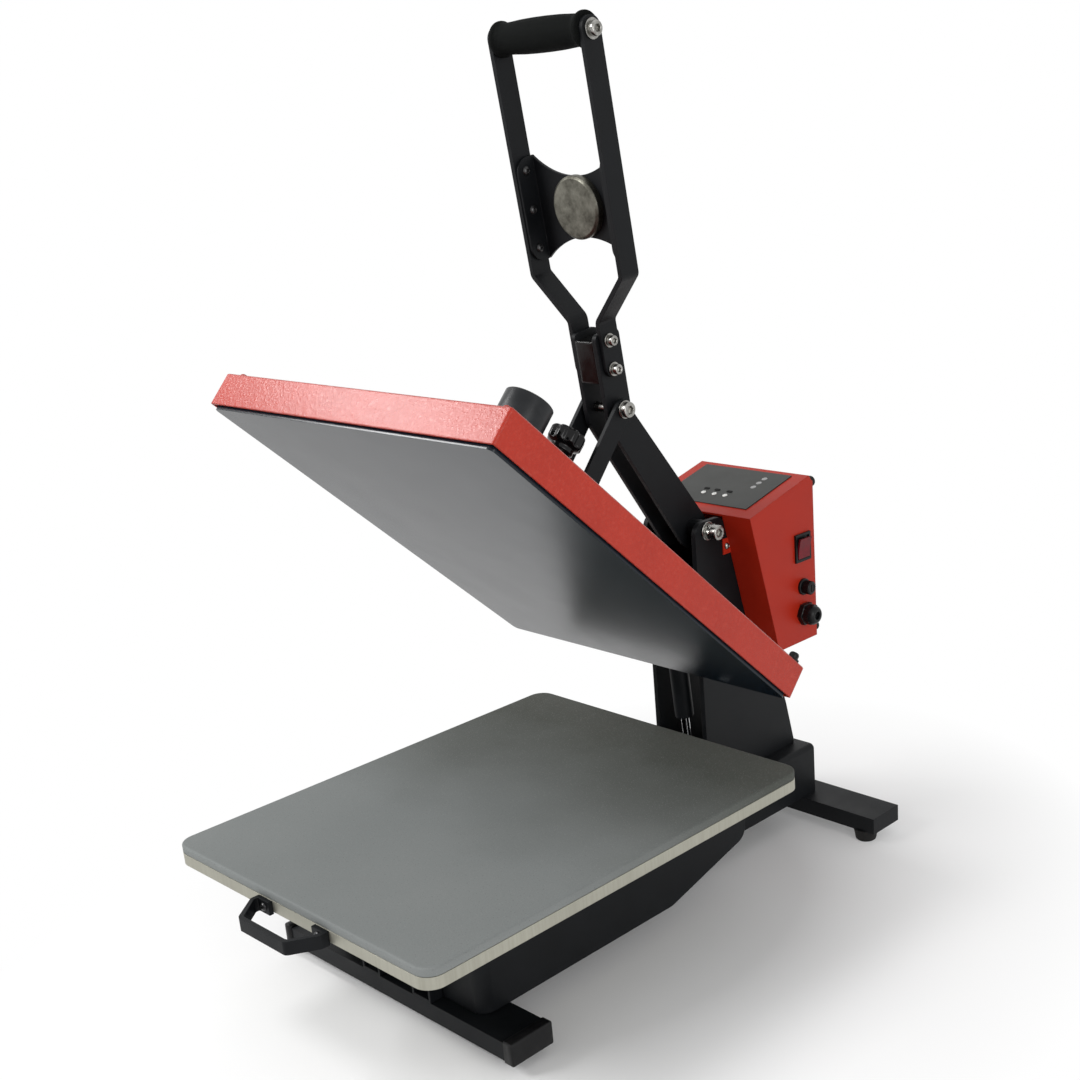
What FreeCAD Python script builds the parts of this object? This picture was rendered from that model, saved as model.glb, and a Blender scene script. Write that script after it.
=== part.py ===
import FreeCAD, Part
import math
import operator
import os
import Sketcher
from FreeCAD import Placement, Rotation, Vector

# Auto-open heat press with a drawer, open and at rest.
# Millimetres; +X is the operator's right, +Y points to the rear, +Z is up.
# The origin is on the floor, under the middle of the whole machine's box.

os.makedirs("parts", exist_ok=True)
doc = FreeCAD.newDocument("HeatPress")

SIZES = [
    # general
    ("fit_gap", 0.1, "radial gap of a bolt or pin in its hole"),
    ("sheet_thick", 1.5, "folded sheet of the control box"),
    # lower plate, pad and drawer
    ("pad_wide", 400, "pad, left to right"),
    ("pad_long", 500, "pad, front to rear"),
    ("pad_front", -342.5, "front edge of the pad"),
    ("pad_base", 164, "underside of the pad"),
    ("pad_thick", 9, "silicone pad"),
    ("pad_round", 18, "corner radius of pad and plate"),
    ("plate_thick", 12, "aluminium plate"),
    ("drawer_half", 116, "half width of the drawer box"),
    ("drawer_front", -225.5, "front face of the drawer box"),
    ("drawer_low", 36, "lower edge of the drawer box"),
    ("drawer_flat_end", 37.5, "where its lower edge starts to rise"),
    ("drawer_back", 160, "rear end of its side walls"),
    ("drawer_back_low", 69, "height of the lower edge at the rear end"),
    ("drawer_sheet", 2, "sheet of the drawer box"),
    ("drawer_flange", 18, "flange under the plate"),
    ("drawer_round", 14, "front corners of the drawer box"),
    ("handle_shift", 5.5, "middle of the pull handle"),
    ("handle_foot", 56, "half span at the handle's feet"),
    ("handle_straight", 36.5, "half length of the handle's front bar"),
    ("handle_skew", 2.5, "front bar's middle to the right of the ears' middle"),
    ("handle_knee", 9.5, "from the plate's edge to where the legs lean in"),
    ("handle_reach", 34.5, "from the plate's edge to the front bar"),
    ("handle_ear", 21.5, "ear that is bent in and screwed to the plate"),
    ("handle_thick", 4.5, "pull handle's bar, thickness"),
    ("handle_tall", 13.5, "pull handle's bar, height"),
    ("handle_base", 150, "underside of the pull handle"),
    # base
    ("foot_radius", 15, "rubber foot, upper part"),
    ("foot_low_radius", 11, "rubber foot, lower part"),
    ("foot_tall", 14.5, "rubber foot, height"),
    ("foot_step", 9, "rubber foot, height of its lower part"),
    ("front_foot_inset", 27.5, "front feet's middle from the crossbar's end"),
    ("rear_foot_inset", 20, "rear feet's middle from the crossbar's end"),
    ("front_foot_in", 25, "front feet's middle from the crossbar's front face"),
    ("rear_foot_in", 12, "rear feet's middle from the crossbar's front face"),
    ("cap_long", 12, "caps over the front crossbar's ends"),
    ("cap_wall", 2.5, "their wall"),
    ("cross_left", -191.5, "left end of the crossbars"),
    ("front_cross_right", 169.5, "right end of the front crossbar"),
    ("rear_cross_right", 166, "right end of the rear crossbar"),
    ("cross_deep", 49.6, "crossbar, front to rear"),
    ("cross_tall", 19.5, "crossbar, height"),
    ("front_cross_at", -240.1, "front face of the front crossbar"),
    ("rear_cross_at", 330.9, "front face of the rear crossbar"),
    ("rail_wide", 28, "longitudinal rail, width"),
    ("rail_tall", 20, "longitudinal rail, height"),
    ("rail_inner", 26, "inner face of a rail from the middle"),
    ("rail_wall", 2.5, "wall of the rails"),
    ("rail_front", -240, "front end of the rails"),
    ("rail_back", 358, "rear end of the rails"),
    ("beam_half", 62, "half width of the base beam"),
    ("beam_top", 96, "top of the base beam"),
    ("beam_wall", 3, "sheet of the base beam"),
    ("beam_front", -221.5, "front end of the base beam"),
    ("beam_back", 355.5, "rear end of the base beam"),
    # column
    ("column_inner", 33, "inner face of a column plate from the middle"),
    ("column_thick", 6, "column plate"),
    ("column_front", 189.5, "front edge of the column plates"),
    ("column_back", 345.5, "rear edge at the foot"),
    ("column_back_step", 102, "height where the rear edge starts to lean"),
    ("column_bend_y", 333.5, "bend of the rear edge, place"),
    ("column_bend_z", 153, "bend of the rear edge, height"),
    ("column_top_y", 263.5, "rear shoulder, place"),
    ("column_top_z", 375, "rear shoulder, height"),
    # joints of the linkage, open
    ("pivot_y", 209.5, "lever pivot, place"),
    ("pivot_z", 395, "lever pivot, height"),
    ("column_peak_y", 230, "rear corner of the flat top"),
    ("column_peak_z", 406, "flat top of the column plates"),
    ("pivot_radius", 6, "lever pivot bolt"),
    ("pivot_head", 8.5, "its head, radius"),
    ("pivot_head_out", 57, "outer face of its head"),
    ("pivot_washer", 10.5, "its washers, radius"),
    ("washer_thick", 2, "washers"),
    ("hinge_y", 250, "platen hinge, place"),
    ("hinge_z", 241, "platen hinge, height"),
    ("hinge_radius", 8, "platen hinge pin"),
    ("hinge_proud", 4, "how far the platen hinge pin stands out of its column plate"),
    ("spacer_radius", 11, "spacer bosses between the column and the lever"),
    ("spacer_gap", 0.3, "play beside the lever plates"),
    ("open_angle", 42.9, "the platen's tilt when open"),
    ("lever_lean", 7.4, "the lever's lean to the front when open"),
    ("strut_lean", 40.462, "the struts' lean to the rear when open"),
    ("spring_lean", 5.03, "the gas spring's lean to the front when open"),
    # platen
    ("cover_half", 208, "half width of the red cover"),
    ("cover_rear", 98, "rear edge of the cover, forward of the hinge"),
    ("cover_long", 487, "cover, front to rear"),
    ("cover_low", -64, "lower edge of the cover under the hinge line"),
    ("cover_tall", 34.5, "cover, height"),
    ("cover_sheet", 2, "cover's sheet"),
    ("heater_inset", 4, "heat plate inside the cover's edge"),
    ("heater_proud", 3.5, "heat plate under the cover's edge"),
    ("heater_thick", 18, "heat plate"),
    ("arm_half", 19.5, "half width of the platen arm"),
    ("arm_tall", 48, "platen arm, height"),
    ("arm_wall", 3, "platen arm, wall"),
    ("arm_front", 433, "front end of the arm, forward of the hinge"),
    ("mount_half", 45, "half width of the arm's foot plate"),
    ("mount_rear", 130, "rear end of the foot plate"),
    ("mount_front", 420, "front end of the foot plate"),
    ("lug_inner", 8, "inner face of a gas spring lug"),
    ("lug_thick", 4, "gas spring lug"),
    ("spring_top_u", 52.5, "gas spring's upper pin, forward of the hinge"),
    ("spring_top_n", -32, "gas spring's upper pin, above the hinge line"),
    ("magnet_radius", 26, "electromagnet"),
    ("magnet_u", 404.7, "electromagnet, forward of the hinge"),
    ("magnet_top", 74.5, "magnet's face above the hinge line"),
    ("magnet_tall", 30, "electromagnet, height"),
    ("bracket_sheet", 4, "magnet bracket"),
    ("bracket_long", 44, "magnet bracket, front to rear"),
    ("knob_u", 341, "pressure knob, forward of the hinge"),
    ("knob_top", 79, "top of the pressure knob"),
    ("knob_tall", 25, "pressure knob, height"),
    ("knob_radius", 19.5, "pressure knob"),
    ("knob_neck", 13.5, "neck under the knob's grip"),
    ("knob_grip", 17, "knob's grip, height"),
    ("knob_hollow", 8, "radius of a hollow in the knob's rim"),
    ("knob_hollows", 8, "hollows in the knob's rim"),
    ("screw_radius", 6, "pressure screw"),
    ("nut_radius", 10.5, "lock nut of the pressure screw"),
    ("nut_tall", 6, "lock nut, height"),
    # lever
    ("knee_a", 163, "knee, up the lever from the pivot"),
    ("knee_b", -82.5, "knee, rearwards of the pivot"),
    ("knee_radius", 5, "knee bolts"),
    ("knee_head", 8.3, "their heads, radius"),
    ("knee_boss", 9, "bosses between the lever plates and the struts, radius"),
    ("lever_inner", 12.5, "inner face of a lever plate from the middle"),
    ("lever_thick", 5, "lever plate"),
    ("lever_front", -97.5, "front edge of the lever's upper part"),
    ("lever_rear", -63.3, "rear edge of the lever's upper part"),
    ("lever_top", 243, "top end of the lever plates"),
    ("leg_round", 22, "lever plate round the pivot"),
    ("block_low", 193, "spacer block, lower end"),
    ("block_top", 236, "spacer block, top end"),
    ("bolt_low", 205.5, "lower lever bolt"),
    ("bolt_high", 235, "upper lever bolt"),
    ("bolt_b", -81.8, "handle bars, middle"),
    ("bolt_head", 5.3, "their heads, radius"),
    ("bolt_washer", 7.2, "their washers, radius"),
    ("lever_bolt_b", -83.8, "lever bolts, rearwards of the pivot"),
    ("bar_wide", 24, "handle bar, width"),
    ("bar_thick", 5, "handle bar, thickness"),
    ("bar_low", 197, "lower end of the handle bars"),
    ("bar_bend", 254, "first bend of the handle bars"),
    ("bar_flare", 299, "second bend of the handle bars"),
    ("bar_top", 536.5, "top end of the handle bars"),
    ("bar_outer", 65, "outer face of a handle bar from the middle"),
    ("grip_a", 524.5, "grip, up the lever"),
    ("grip_radius", 15.8, "grip in the middle"),
    ("grip_flange", 16.8, "grip's end flanges, radius"),
    ("grip_flange_wide", 6, "grip's end flanges, width"),
    ("grip_bolt_radius", 5, "grip bolt"),
    ("grip_bolt_head", 7, "its head, radius"),
    ("web_low", 313, "cross plate, lower corners"),
    ("web_top", 415, "cross plate, top corners"),
    ("web_low_mid", 334, "cross plate, lower edge in the middle"),
    ("web_top_mid", 393.5, "cross plate, top edge in the middle"),
    ("web_b", -70.5, "cross plate's front face"),
    ("web_thick", 3, "cross plate"),
    ("disc_radius", 31, "armature disc"),
    ("disc_thick", 8.5, "armature disc"),
    ("disc_a", 364, "armature disc, up the lever"),
    # struts
    ("strut_inner", 22.5, "inner face of a strut from the middle"),
    ("strut_thick", 4.5, "strut"),
    ("strut_long", 126, "strut between its pivots"),
    ("strut_round", 11, "strut's ends"),
    # gas spring
    ("spring_pin_y", 202.5, "gas spring's lower pin, place"),
    ("spring_pin_z", 109, "gas spring's lower pin, height"),
    ("spring_open", 144.9, "between its pins when open"),
    ("spring_rod_radius", 5, "piston rod"),
    ("spring_tube_radius", 11, "cylinder"),
    ("spring_rod_out", 65, "from the lower pin to the cylinder, open"),
    ("spring_stroke", 44.8, "stroke of the platen's closing"),
    ("spring_eye_half", 6, "half width of the eyes"),
    ("spring_pin_radius", 4, "gas spring's pins"),
    # control box
    ("box_half", 80, "half width of the control box"),
    ("box_front_top_y", 233.5, "front edge of the sloping top, place"),
    ("box_front_top_z", 408, "front edge of the sloping top, height"),
    ("box_rear_top_y", 338.5, "rear edge of the sloping top, place"),
    ("box_rear_top_z", 434, "rear edge of the sloping top, height"),
    ("box_back_top_z", 427, "top of the box's back"),
    ("box_rear_y", 343.5, "rear edge of the box's shell"),
    ("box_front_low_y", 275.5, "front edge of the underside"),
    ("box_low_z", 243, "underside of the box"),
    ("slot_half", 39.5, "half width of the slot for the column"),
    ("panel_half", 63.5, "half width of the dark panel"),
    ("panel_middle", -2.5, "the panel's middle from the box's middle"),
    ("panel_start", 17, "front edge of the panel along the slope"),
    ("panel_long", 84, "panel along the slope"),
    ("panel_thick", 1, "panel"),
    ("key_radius", 3, "keys"),
    ("key_along", 38, "keys along the slope"),
    ("key_pitch", 16, "between two keys"),
    ("key_middle", -2.3, "middle key from the middle"),
    ("key_travel", 0.8, "stroke of a key"),
    ("rocker_y", 322, "power switch, place"),
    ("rocker_z", 354.8, "power switch, height"),
    ("rocker_wide", 27, "power switch, width"),
    ("rocker_tall", 32.5, "power switch, height of the bezel"),
    ("rocker_tilt", 9, "rocker's tilt to either side"),
    ("fuse_y", 322, "fuse holder, place"),
    ("fuse_z", 308, "fuse holder, height"),
    ("gland_y", 322, "cable gland, place"),
    ("gland_z", 276, "cable gland, height"),
    ("bumper_radius", 6.5, "round bumpers on the back"),
    ("bumper_tall", 8.5, "bumpers, height"),
    ("bumper_x", 72, "bumpers from the middle"),
    ("bumper_low", 252, "lower bumpers, height"),
    ("bumper_high", 424, "upper bumpers, height"),
    # slides
    ("slide_base", 47, "lower edge of the fixed slide rail"),
    ("slide_tall", 45, "slide rail, height"),
    ("slide_deep", 11, "slide rail, depth"),
    ("slide_wall", 2.5, "slide rail, wall"),
    ("slide_front", -217.5, "front end of the fixed slide rails"),
    ("slide_long", 380, "fixed slide rail"),
    ("runner_front", -207, "front end of the runners"),
    ("runner_long", 355, "runner"),
    ("runner_tall", 17, "runner's bar, height"),
    ("hanger_thick", 3, "hanger plate between runner and lower plate"),
]

sheet = doc.addObject("Spreadsheet::Sheet", "Sizes")
for row, (alias, number, note) in enumerate(SIZES, start=1):
    sheet.set("A%d" % row, str(number))
    sheet.setAlias("A%d" % row, alias)
    sheet.set("B%d" % row, note)
doc.recompute()


class Dim:
    """A size that carries its number and the sheet's formula for it."""

    SIGNS = {"+": operator.add, "-": operator.sub, "*": operator.mul, "/": operator.truediv}

    def __init__(self, number, formula=None):
        self.number = float(number)
        self.formula = formula if formula else "(%r)" % float(number)

    @staticmethod
    def of(value):
        return value if isinstance(value, Dim) else Dim(value)

    @staticmethod
    def join(left, sign, right):
        left, right = Dim.of(left), Dim.of(right)
        number = Dim.SIGNS[sign](left.number, right.number)
        return Dim(number, "(%s %s %s)" % (left.formula, sign, right.formula))

    def __add__(self, other):
        return Dim.join(self, "+", other)

    def __radd__(self, other):
        return Dim.join(other, "+", self)

    def __sub__(self, other):
        return Dim.join(self, "-", other)

    def __rsub__(self, other):
        return Dim.join(other, "-", self)

    def __mul__(self, other):
        return Dim.join(self, "*", other)

    def __rmul__(self, other):
        return Dim.join(other, "*", self)

    def __truediv__(self, other):
        return Dim.join(self, "/", other)

    def __neg__(self):
        return Dim.join(0, "-", self)


def size(alias):
    """The named size of the sheet."""
    return Dim(getattr(sheet, alias), "Sizes." + alias)


def sine(angle):
    return Dim(math.sin(math.radians(angle.number)), "sin(%s)" % angle.formula)


def cosine(angle):
    return Dim(math.cos(math.radians(angle.number)), "cos(%s)" % angle.formula)


def bind(thing, path, value):
    """Ties one property to the sheet."""
    thing.setExpression(path, Dim.of(value).formula)


class Home:
    """Where a piece stands: a point and a turn about one axis, both tied to the sheet."""

    def __init__(self, x=0, y=0, z=0, axis=(1, 0, 0), turn=0):
        self.spot = (x, y, z)
        self.axis = Vector(*axis)
        self.turn = turn

    def give(self, piece):
        x, y, z = [Dim.of(value).number for value in self.spot]
        piece.Placement = Placement(Vector(x, y, z), Rotation(self.axis, Dim.of(self.turn).number))
        for letter, value in zip("xyz", self.spot):
            bind(piece, ".Placement.Base." + letter, value)
        if isinstance(self.turn, Dim):
            bind(piece, ".Placement.Rotation.Angle", self.turn)


# A sketch plane's role, and the way along its own axis that its normal points.
SIDE = ("YZ_Plane", 1)
FRONT = ("XZ_Plane", -1)
TOP = ("XY_Plane", 1)

PIECES = []


def new_body(name, home=None):
    body = doc.addObject("PartDesign::Body", name)
    body.Label = name
    PIECES.append(body)
    if home:
        home.give(body)
    return body


def new_sketch(body, plane, start, depth):
    """A sketch such that a pad or cut along its normal fills start to start + depth."""
    role, way = plane
    support = [item for item in body.Origin.OriginFeatures if item.Role == role][0]
    sketch = body.newObject("Sketcher::SketchObject", body.Name + "_sketch")
    sketch.AttachmentSupport = [(support, "")]
    sketch.MapMode = "FlatFace"
    offset = Dim.of(start) if way > 0 else -(Dim.of(start) + depth)
    sketch.AttachmentOffset = Placement(Vector(0, 0, offset.number), Rotation())
    bind(sketch, ".AttachmentOffset.Base.z", offset)
    return sketch


def fix_point(sketch, geometry, end, x, y):
    """Holds one point of a sketch at x, y of the sheet."""
    for kind, value in (("DistanceX", Dim.of(x)), ("DistanceY", Dim.of(y))):
        index = sketch.addConstraint(Sketcher.Constraint(kind, -1, 1, geometry, end, value.number))
        bind(sketch, "Constraints[%d]" % index, value)


def fix_radius(sketch, geometry, radius):
    radius = Dim.of(radius)
    index = sketch.addConstraint(Sketcher.Constraint("Radius", geometry, radius.number))
    bind(sketch, "Constraints[%d]" % index, radius)


def corner(x, y, radius=0):
    """A corner of an outline, rounded when a radius is given."""
    return ("corner", Dim.of(x), Dim.of(y), Dim.of(radius))


def boss(x, y, radius):
    """A round end of an outline about the point x, y; a hollow one has a negative radius."""
    return ("boss", Dim.of(x), Dim.of(y), Dim.of(radius))


def tangent_line(first, second):
    """The straight run between two stations of an outline: its two ends."""
    reach = [item[3].number if item[0] == "boss" else 0.0 for item in (first, second)]
    begin = Vector(first[1].number, first[2].number, 0)
    finish = Vector(second[1].number, second[2].number, 0)
    across = finish - begin
    angle = math.atan2(across.y, across.x) + math.acos((reach[1] - reach[0]) / across.Length)
    normal = Vector(math.cos(angle), math.sin(angle), 0)
    return begin - normal * reach[0], finish - normal * reach[1]


def draw_outline(sketch, stations):
    """Lines and tangent arcs round an outline, counter-clockwise, every station tied to the sheet."""
    count = len(stations)
    runs = [list(tangent_line(stations[i], stations[(i + 1) % count])) for i in range(count)]
    arcs = {}
    for i, (kind, x, y, radius) in enumerate(stations):
        before, after = runs[i - 1], runs[i]
        if kind == "boss":
            arcs[i] = (Vector(x.number, y.number, 0), abs(radius.number), radius.number > 0)
        elif radius.number > 0:
            into = (before[1] - before[0]).normalize()
            out = (after[1] - after[0]).normalize()
            turn = math.atan2(into.x * out.y - into.y * out.x, into.dot(out))
            back = radius.number * math.tan(abs(turn) / 2)
            left = Vector(-into.y, into.x, 0) * math.copysign(radius.number, turn)
            before[1] = before[1] - into * back
            after[0] = after[0] + out * back
            arcs[i] = (before[1] + left, radius.number, turn > 0)
    lines = [sketch.addGeometry(Part.LineSegment(start, end)) for start, end in runs]
    for i, (kind, x, y, radius) in enumerate(stations):
        previous, following = lines[i - 1], lines[i]
        if i not in arcs:
            sketch.addConstraint(Sketcher.Constraint("Coincident", previous, 2, following, 1))
            fix_point(sketch, following, 1, x, y)
            continue
        centre, reach, left_turn = arcs[i]
        enter = runs[i - 1][1] - centre
        leave = runs[i][0] - centre
        angles = [math.atan2(enter.y, enter.x), math.atan2(leave.y, leave.x)]
        ends = (1, 2) if left_turn else (2, 1)
        if not left_turn:
            angles.reverse()
        circle = Part.Circle(centre, Vector(0, 0, 1), reach)
        arc = sketch.addGeometry(Part.ArcOfCircle(circle, angles[0], angles[1]))
        sketch.addConstraint(Sketcher.Constraint("Tangent", previous, 2, arc, ends[0]))
        sketch.addConstraint(Sketcher.Constraint("Tangent", following, 1, arc, ends[1]))
        if kind == "boss":
            fix_point(sketch, arc, 3, x, y)
            fix_radius(sketch, arc, radius if left_turn else -radius)
            continue
        fix_radius(sketch, arc, radius)
        mark = sketch.addGeometry(Part.Point(Vector(x.number, y.number, 0)), True)
        fix_point(sketch, mark, 1, x, y)
        for line in (previous, following):
            sketch.addConstraint(Sketcher.Constraint("PointOnObject", mark, 1, line))


def draw_circle(sketch, x, y, radius):
    x, y, radius = Dim.of(x), Dim.of(y), Dim.of(radius)
    place = Vector(x.number, y.number, 0)
    circle = sketch.addGeometry(Part.Circle(place, Vector(0, 0, 1), radius.number))
    fix_point(sketch, circle, 3, x, y)
    fix_radius(sketch, circle, radius)


def draw(sketch, outline, holes):
    if outline:
        draw_outline(sketch, outline)
    for hole in holes:
        draw_circle(sketch, *hole)


def settle(feature):
    """Works out one feature and stops at once when it fails."""
    doc.recompute()
    if "Invalid" in feature.State or "Error" in feature.State:
        raise ValueError("%s: %s" % (feature.Name, feature.getStatusString()))
    return feature


def add(body, plane, start, depth, outline=(), holes=()):
    """Adds an extruded outline, with its holes, between two parallel faces."""
    sketch = new_sketch(body, plane, start, depth)
    draw(sketch, outline, holes)
    pad = body.newObject("PartDesign::Pad", body.Name + "_pad")
    pad.Profile = sketch
    pad.Length = Dim.of(depth).number
    bind(pad, "Length", depth)
    return settle(pad)


def cut(body, plane, start, depth, outline=(), holes=()):
    """Removes an extruded outline or circles between two parallel faces."""
    before = body.Shape.Volume
    sketch = new_sketch(body, plane, start, depth)
    draw(sketch, outline, holes)
    pocket = body.newObject("PartDesign::Pocket", body.Name + "_cut")
    pocket.Profile = sketch
    pocket.Length = Dim.of(depth).number
    pocket.Reversed = True
    bind(pocket, "Length", depth)
    settle(pocket)
    if body.Shape.Volume > before - 1e-3:
        raise ValueError("a cut in %s removes nothing" % body.Name)
    return pocket


def turn(body, outline):
    """Turns an outline, drawn in X and Z, about the body's own Z axis."""
    sketch = new_sketch(body, FRONT, 0, 0)
    draw(sketch, outline, ())
    revolution = body.newObject("PartDesign::Revolution", body.Name + "_turn")
    revolution.Profile = sketch
    revolution.ReferenceAxis = (sketch, ["V_Axis"])
    revolution.Angle = 360
    return settle(revolution)


def ring(body, features, count):
    """Repeats features evenly round the body's own Z axis."""
    axis = [item for item in body.Origin.OriginFeatures if item.Role == "Z_Axis"][0]
    pattern = body.newObject("PartDesign::PolarPattern", body.Name + "_ring")
    pattern.Originals = features
    pattern.Axis = (axis, [""])
    pattern.Angle = 360
    pattern.Occurrences = int(count.number)
    bind(pattern, "Occurrences", count)
    body.Tip = pattern
    return settle(pattern)


def dress(body, kind, amount, choose):
    """Rounds or bevels the edges that choose picks."""
    base = body.Tip
    names = ["Edge%d" % (i + 1) for i, edge in enumerate(base.Shape.Edges) if choose(edge)]
    if not names:
        raise ValueError("no edge to dress in %s" % body.Name)
    feature = body.newObject("PartDesign::" + kind, "%s_%s" % (body.Name, kind.lower()))
    feature.Base = (base, names)
    amount = Dim.of(amount)
    path = "Radius" if kind == "Fillet" else "Size"
    setattr(feature, path, amount.number)
    bind(feature, path, amount)
    return settle(feature)


def hollow_out(body, skin, is_open):
    """Leaves only a skin of the body, open where is_open picks a flat face."""
    base = body.Tip
    names = ["Face%d" % (i + 1) for i, face in enumerate(base.Shape.Faces) if is_open(face)]
    feature = body.newObject("PartDesign::Thickness", body.Name + "_skin")
    feature.Base = (base, names)
    feature.Value = skin.number
    feature.Reversed = True
    feature.Join = "Intersection"
    bind(feature, "Value", skin)
    return settle(feature)


def along(axis, test=None):
    """Picks straight edges along X, Y or Z whose middle passes the test."""
    index = "XYZ".index(axis)

    def choose(edge):
        if len(edge.Vertexes) < 2:
            return False
        span = edge.Vertexes[1].Point - edge.Vertexes[0].Point
        straight = span.Length > 1e-6 and abs(abs(span[index]) - edge.Length) < 1e-6
        return straight and (test is None or test(edge.CenterOfMass))

    return choose


def rim(height):
    """Picks every edge that lies flat at one height of the body's own frame."""

    def choose(edge):
        box = edge.BoundBox
        return abs(box.ZMin - height.number) < 1e-4 and abs(box.ZMax - height.number) < 1e-4

    return choose


def rectangle(x0, y0, x1, y1, radius=0):
    """An upright rectangle between two corners."""
    return [corner(x0, y0, radius), corner(x1, y0, radius), corner(x1, y1, radius), corner(x0, y1, radius)]


def polygon(x, y, radius, sides):
    """Evenly spaced corners on a circle about the point x, y."""
    radius = Dim.of(radius)
    return [
        corner(x + radius * cosine(Dim(360 * i / sides)), y + radius * sine(Dim(360 * i / sides)))
        for i in range(sides)
    ]


# Nuts and socket keys have six sides; small round pieces that repeat are drawn with fourteen,
# and the grip and the knob with twenty.
HEX = 6
ROUND = 14
SMOOTH = 20

# Drawer: the pad lies on the aluminium plate, both with the same rounded corners.

pad_half = size("pad_wide") / 2
pad_back = size("pad_front") + size("pad_long")
plate_base = size("pad_base") - size("plate_thick")
pad_outline = rectangle(-pad_half, size("pad_front"), pad_half, pad_back, size("pad_round"))

silicone_pad = new_body("silicone_pad")
add(silicone_pad, TOP, size("pad_base"), size("pad_thick"), pad_outline)

lower_plate = new_body("lower_plate")
add(lower_plate, TOP, plate_base, size("plate_thick"), pad_outline)

# The drawer box is one folded sheet: a notched front, boat-shaped sides and flanges under the plate.
# It is open below and behind, where the base beam runs through it.

drawer_box = new_body("drawer_box")
drawer_half = size("drawer_half")
drawer_front = size("drawer_front")
wall = size("drawer_sheet")
add(drawer_box, SIDE, -drawer_half, drawer_half * 2, [
    corner(drawer_front, size("drawer_low")),
    corner(size("drawer_flat_end"), size("drawer_low"), 30),
    corner(size("drawer_back"), size("drawer_back_low"), 16),
    corner(size("drawer_back"), plate_base),
    corner(drawer_front, plate_base),
])
dress(drawer_box, "Fillet", size("drawer_round"), along("Z", lambda middle: middle.y < drawer_front.number + 1))
inside_round = size("drawer_round") - wall
cut(drawer_box, TOP, size("drawer_low") - 5, plate_base - wall - size("drawer_low") + 5, [
    corner(wall - drawer_half, drawer_front + wall, inside_round),
    corner(drawer_half - wall, drawer_front + wall, inside_round),
    corner(drawer_half - wall, size("drawer_back") + 5),
    corner(wall - drawer_half, size("drawer_back") + 5),
])
flange_inner = drawer_half - size("drawer_flange")
cut(drawer_box, TOP, plate_base - wall - 1, wall + 2, rectangle(
    -flange_inner, drawer_front + size("drawer_flange"), flange_inner, size("drawer_back") + 5))
notch_low = size("rail_inner") - 2
notch_high = size("rail_inner") + size("rail_wide") + 2
notch_top = size("foot_tall") + size("cross_tall") + size("rail_tall") + 2
for side in (-1, 1):
    edges = sorted((notch_low * side, notch_high * side), key=lambda value: value.number)
    cut(drawer_box, FRONT, drawer_front - 1, wall + 2, rectangle(
        edges[0], size("drawer_low") - 5, edges[1], notch_top))

# Pull handle: a flat bar bent to a trapezoid, its ears screwed to the plate's front edge.

pull_handle = new_body("pull_handle", Home(size("handle_shift"), size("pad_front"), size("handle_base")))
thick = size("handle_thick")
reach = size("handle_reach")
foot = size("handle_foot")
front_half = size("handle_straight")
ear_inner = foot - size("handle_ear")
knee_reach = size("handle_knee")
# the legs lean, so the bar's inner outline is drawn in by its thickness along the slope
leg_inner = front_half - thick * 0.55


def half_handle(skew):
    """Half of the handle's outline from the front bar to the ear and back."""
    return [
        (front_half + skew, -reach - thick / 2, 6),
        (foot, -knee_reach, 5),
        (foot, Dim(0), 2),
        (ear_inner, Dim(0), 0),
        (ear_inner, -thick, 0),
        (foot - thick, -thick, 1.5),
        (foot - thick, thick * 0.2 - knee_reach, 3),
        (leg_inner + skew, thick / 2 - reach, 4),
    ]


skew = size("handle_skew")
right_half = [corner(x, y, bend) for x, y, bend in half_handle(skew)]
left_half = [corner(-x, y, bend) for x, y, bend in reversed(half_handle(-skew))]
add(pull_handle, TOP, 0, size("handle_tall"), right_half + left_half)
ear_middle = ear_inner + size("handle_ear") * 0.4
ear_height = size("handle_tall") * 0.5
ear_screws = ((-ear_middle, ear_height), (ear_middle, ear_height))

pull_handle_screws = new_body("pull_handle_screws", Home(size("handle_shift"), size("pad_front"), size("handle_base")))
for x, z in ear_screws:
    add(pull_handle_screws, FRONT, -thick - 2.5, 2.5, polygon(x, z, 4.2, ROUND))

# Drawer slides: a channel on each side of the beam, and a runner that hangs from the plate.


def slide_rail(name, side):
    body = new_body(name, Home(turn=0 if side > 0 else 180, axis=(0, 0, 1)))
    base = size("slide_base")
    start = size("beam_half")
    deep = size("slide_deep")
    skin = size("slide_wall")
    top = base + size("slide_tall")
    lip = 12
    front = size("slide_front") if side > 0 else -(size("slide_front") + size("slide_long"))
    add(body, FRONT, front, size("slide_long"), [
        corner(start, base),
        corner(start + deep, base),
        corner(start + deep, base + lip),
        corner(start + deep - skin, base + lip),
        corner(start + deep - skin, base + skin),
        corner(start + skin, base + skin),
        corner(start + skin, top - skin),
        corner(start + deep - skin, top - skin),
        corner(start + deep - skin, top - lip),
        corner(start + deep, top - lip),
        corner(start + deep, top),
        corner(start, top),
    ])
    return body


def slide_runner(name, side):
    body = new_body(name, Home(turn=0 if side > 0 else 180, axis=(0, 0, 1)))
    middle = size("slide_base") + size("slide_tall") / 2
    low = middle - size("runner_tall") / 2
    high = middle + size("runner_tall") / 2
    inner = size("beam_half") + size("slide_wall") + 1
    outer = size("beam_half") + size("slide_deep") + 1
    front = size("runner_front") if side > 0 else -(size("runner_front") + size("runner_long"))
    add(body, FRONT, front, size("runner_long"), [
        corner(inner, low),
        corner(outer + size("hanger_thick"), low),
        corner(outer + size("hanger_thick"), plate_base - size("hanger_thick")),
        corner(outer + 20, plate_base - size("hanger_thick")),
        corner(outer + 20, plate_base),
        corner(outer, plate_base),
        corner(outer, high),
        corner(inner, high),
    ])
    return body


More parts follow.
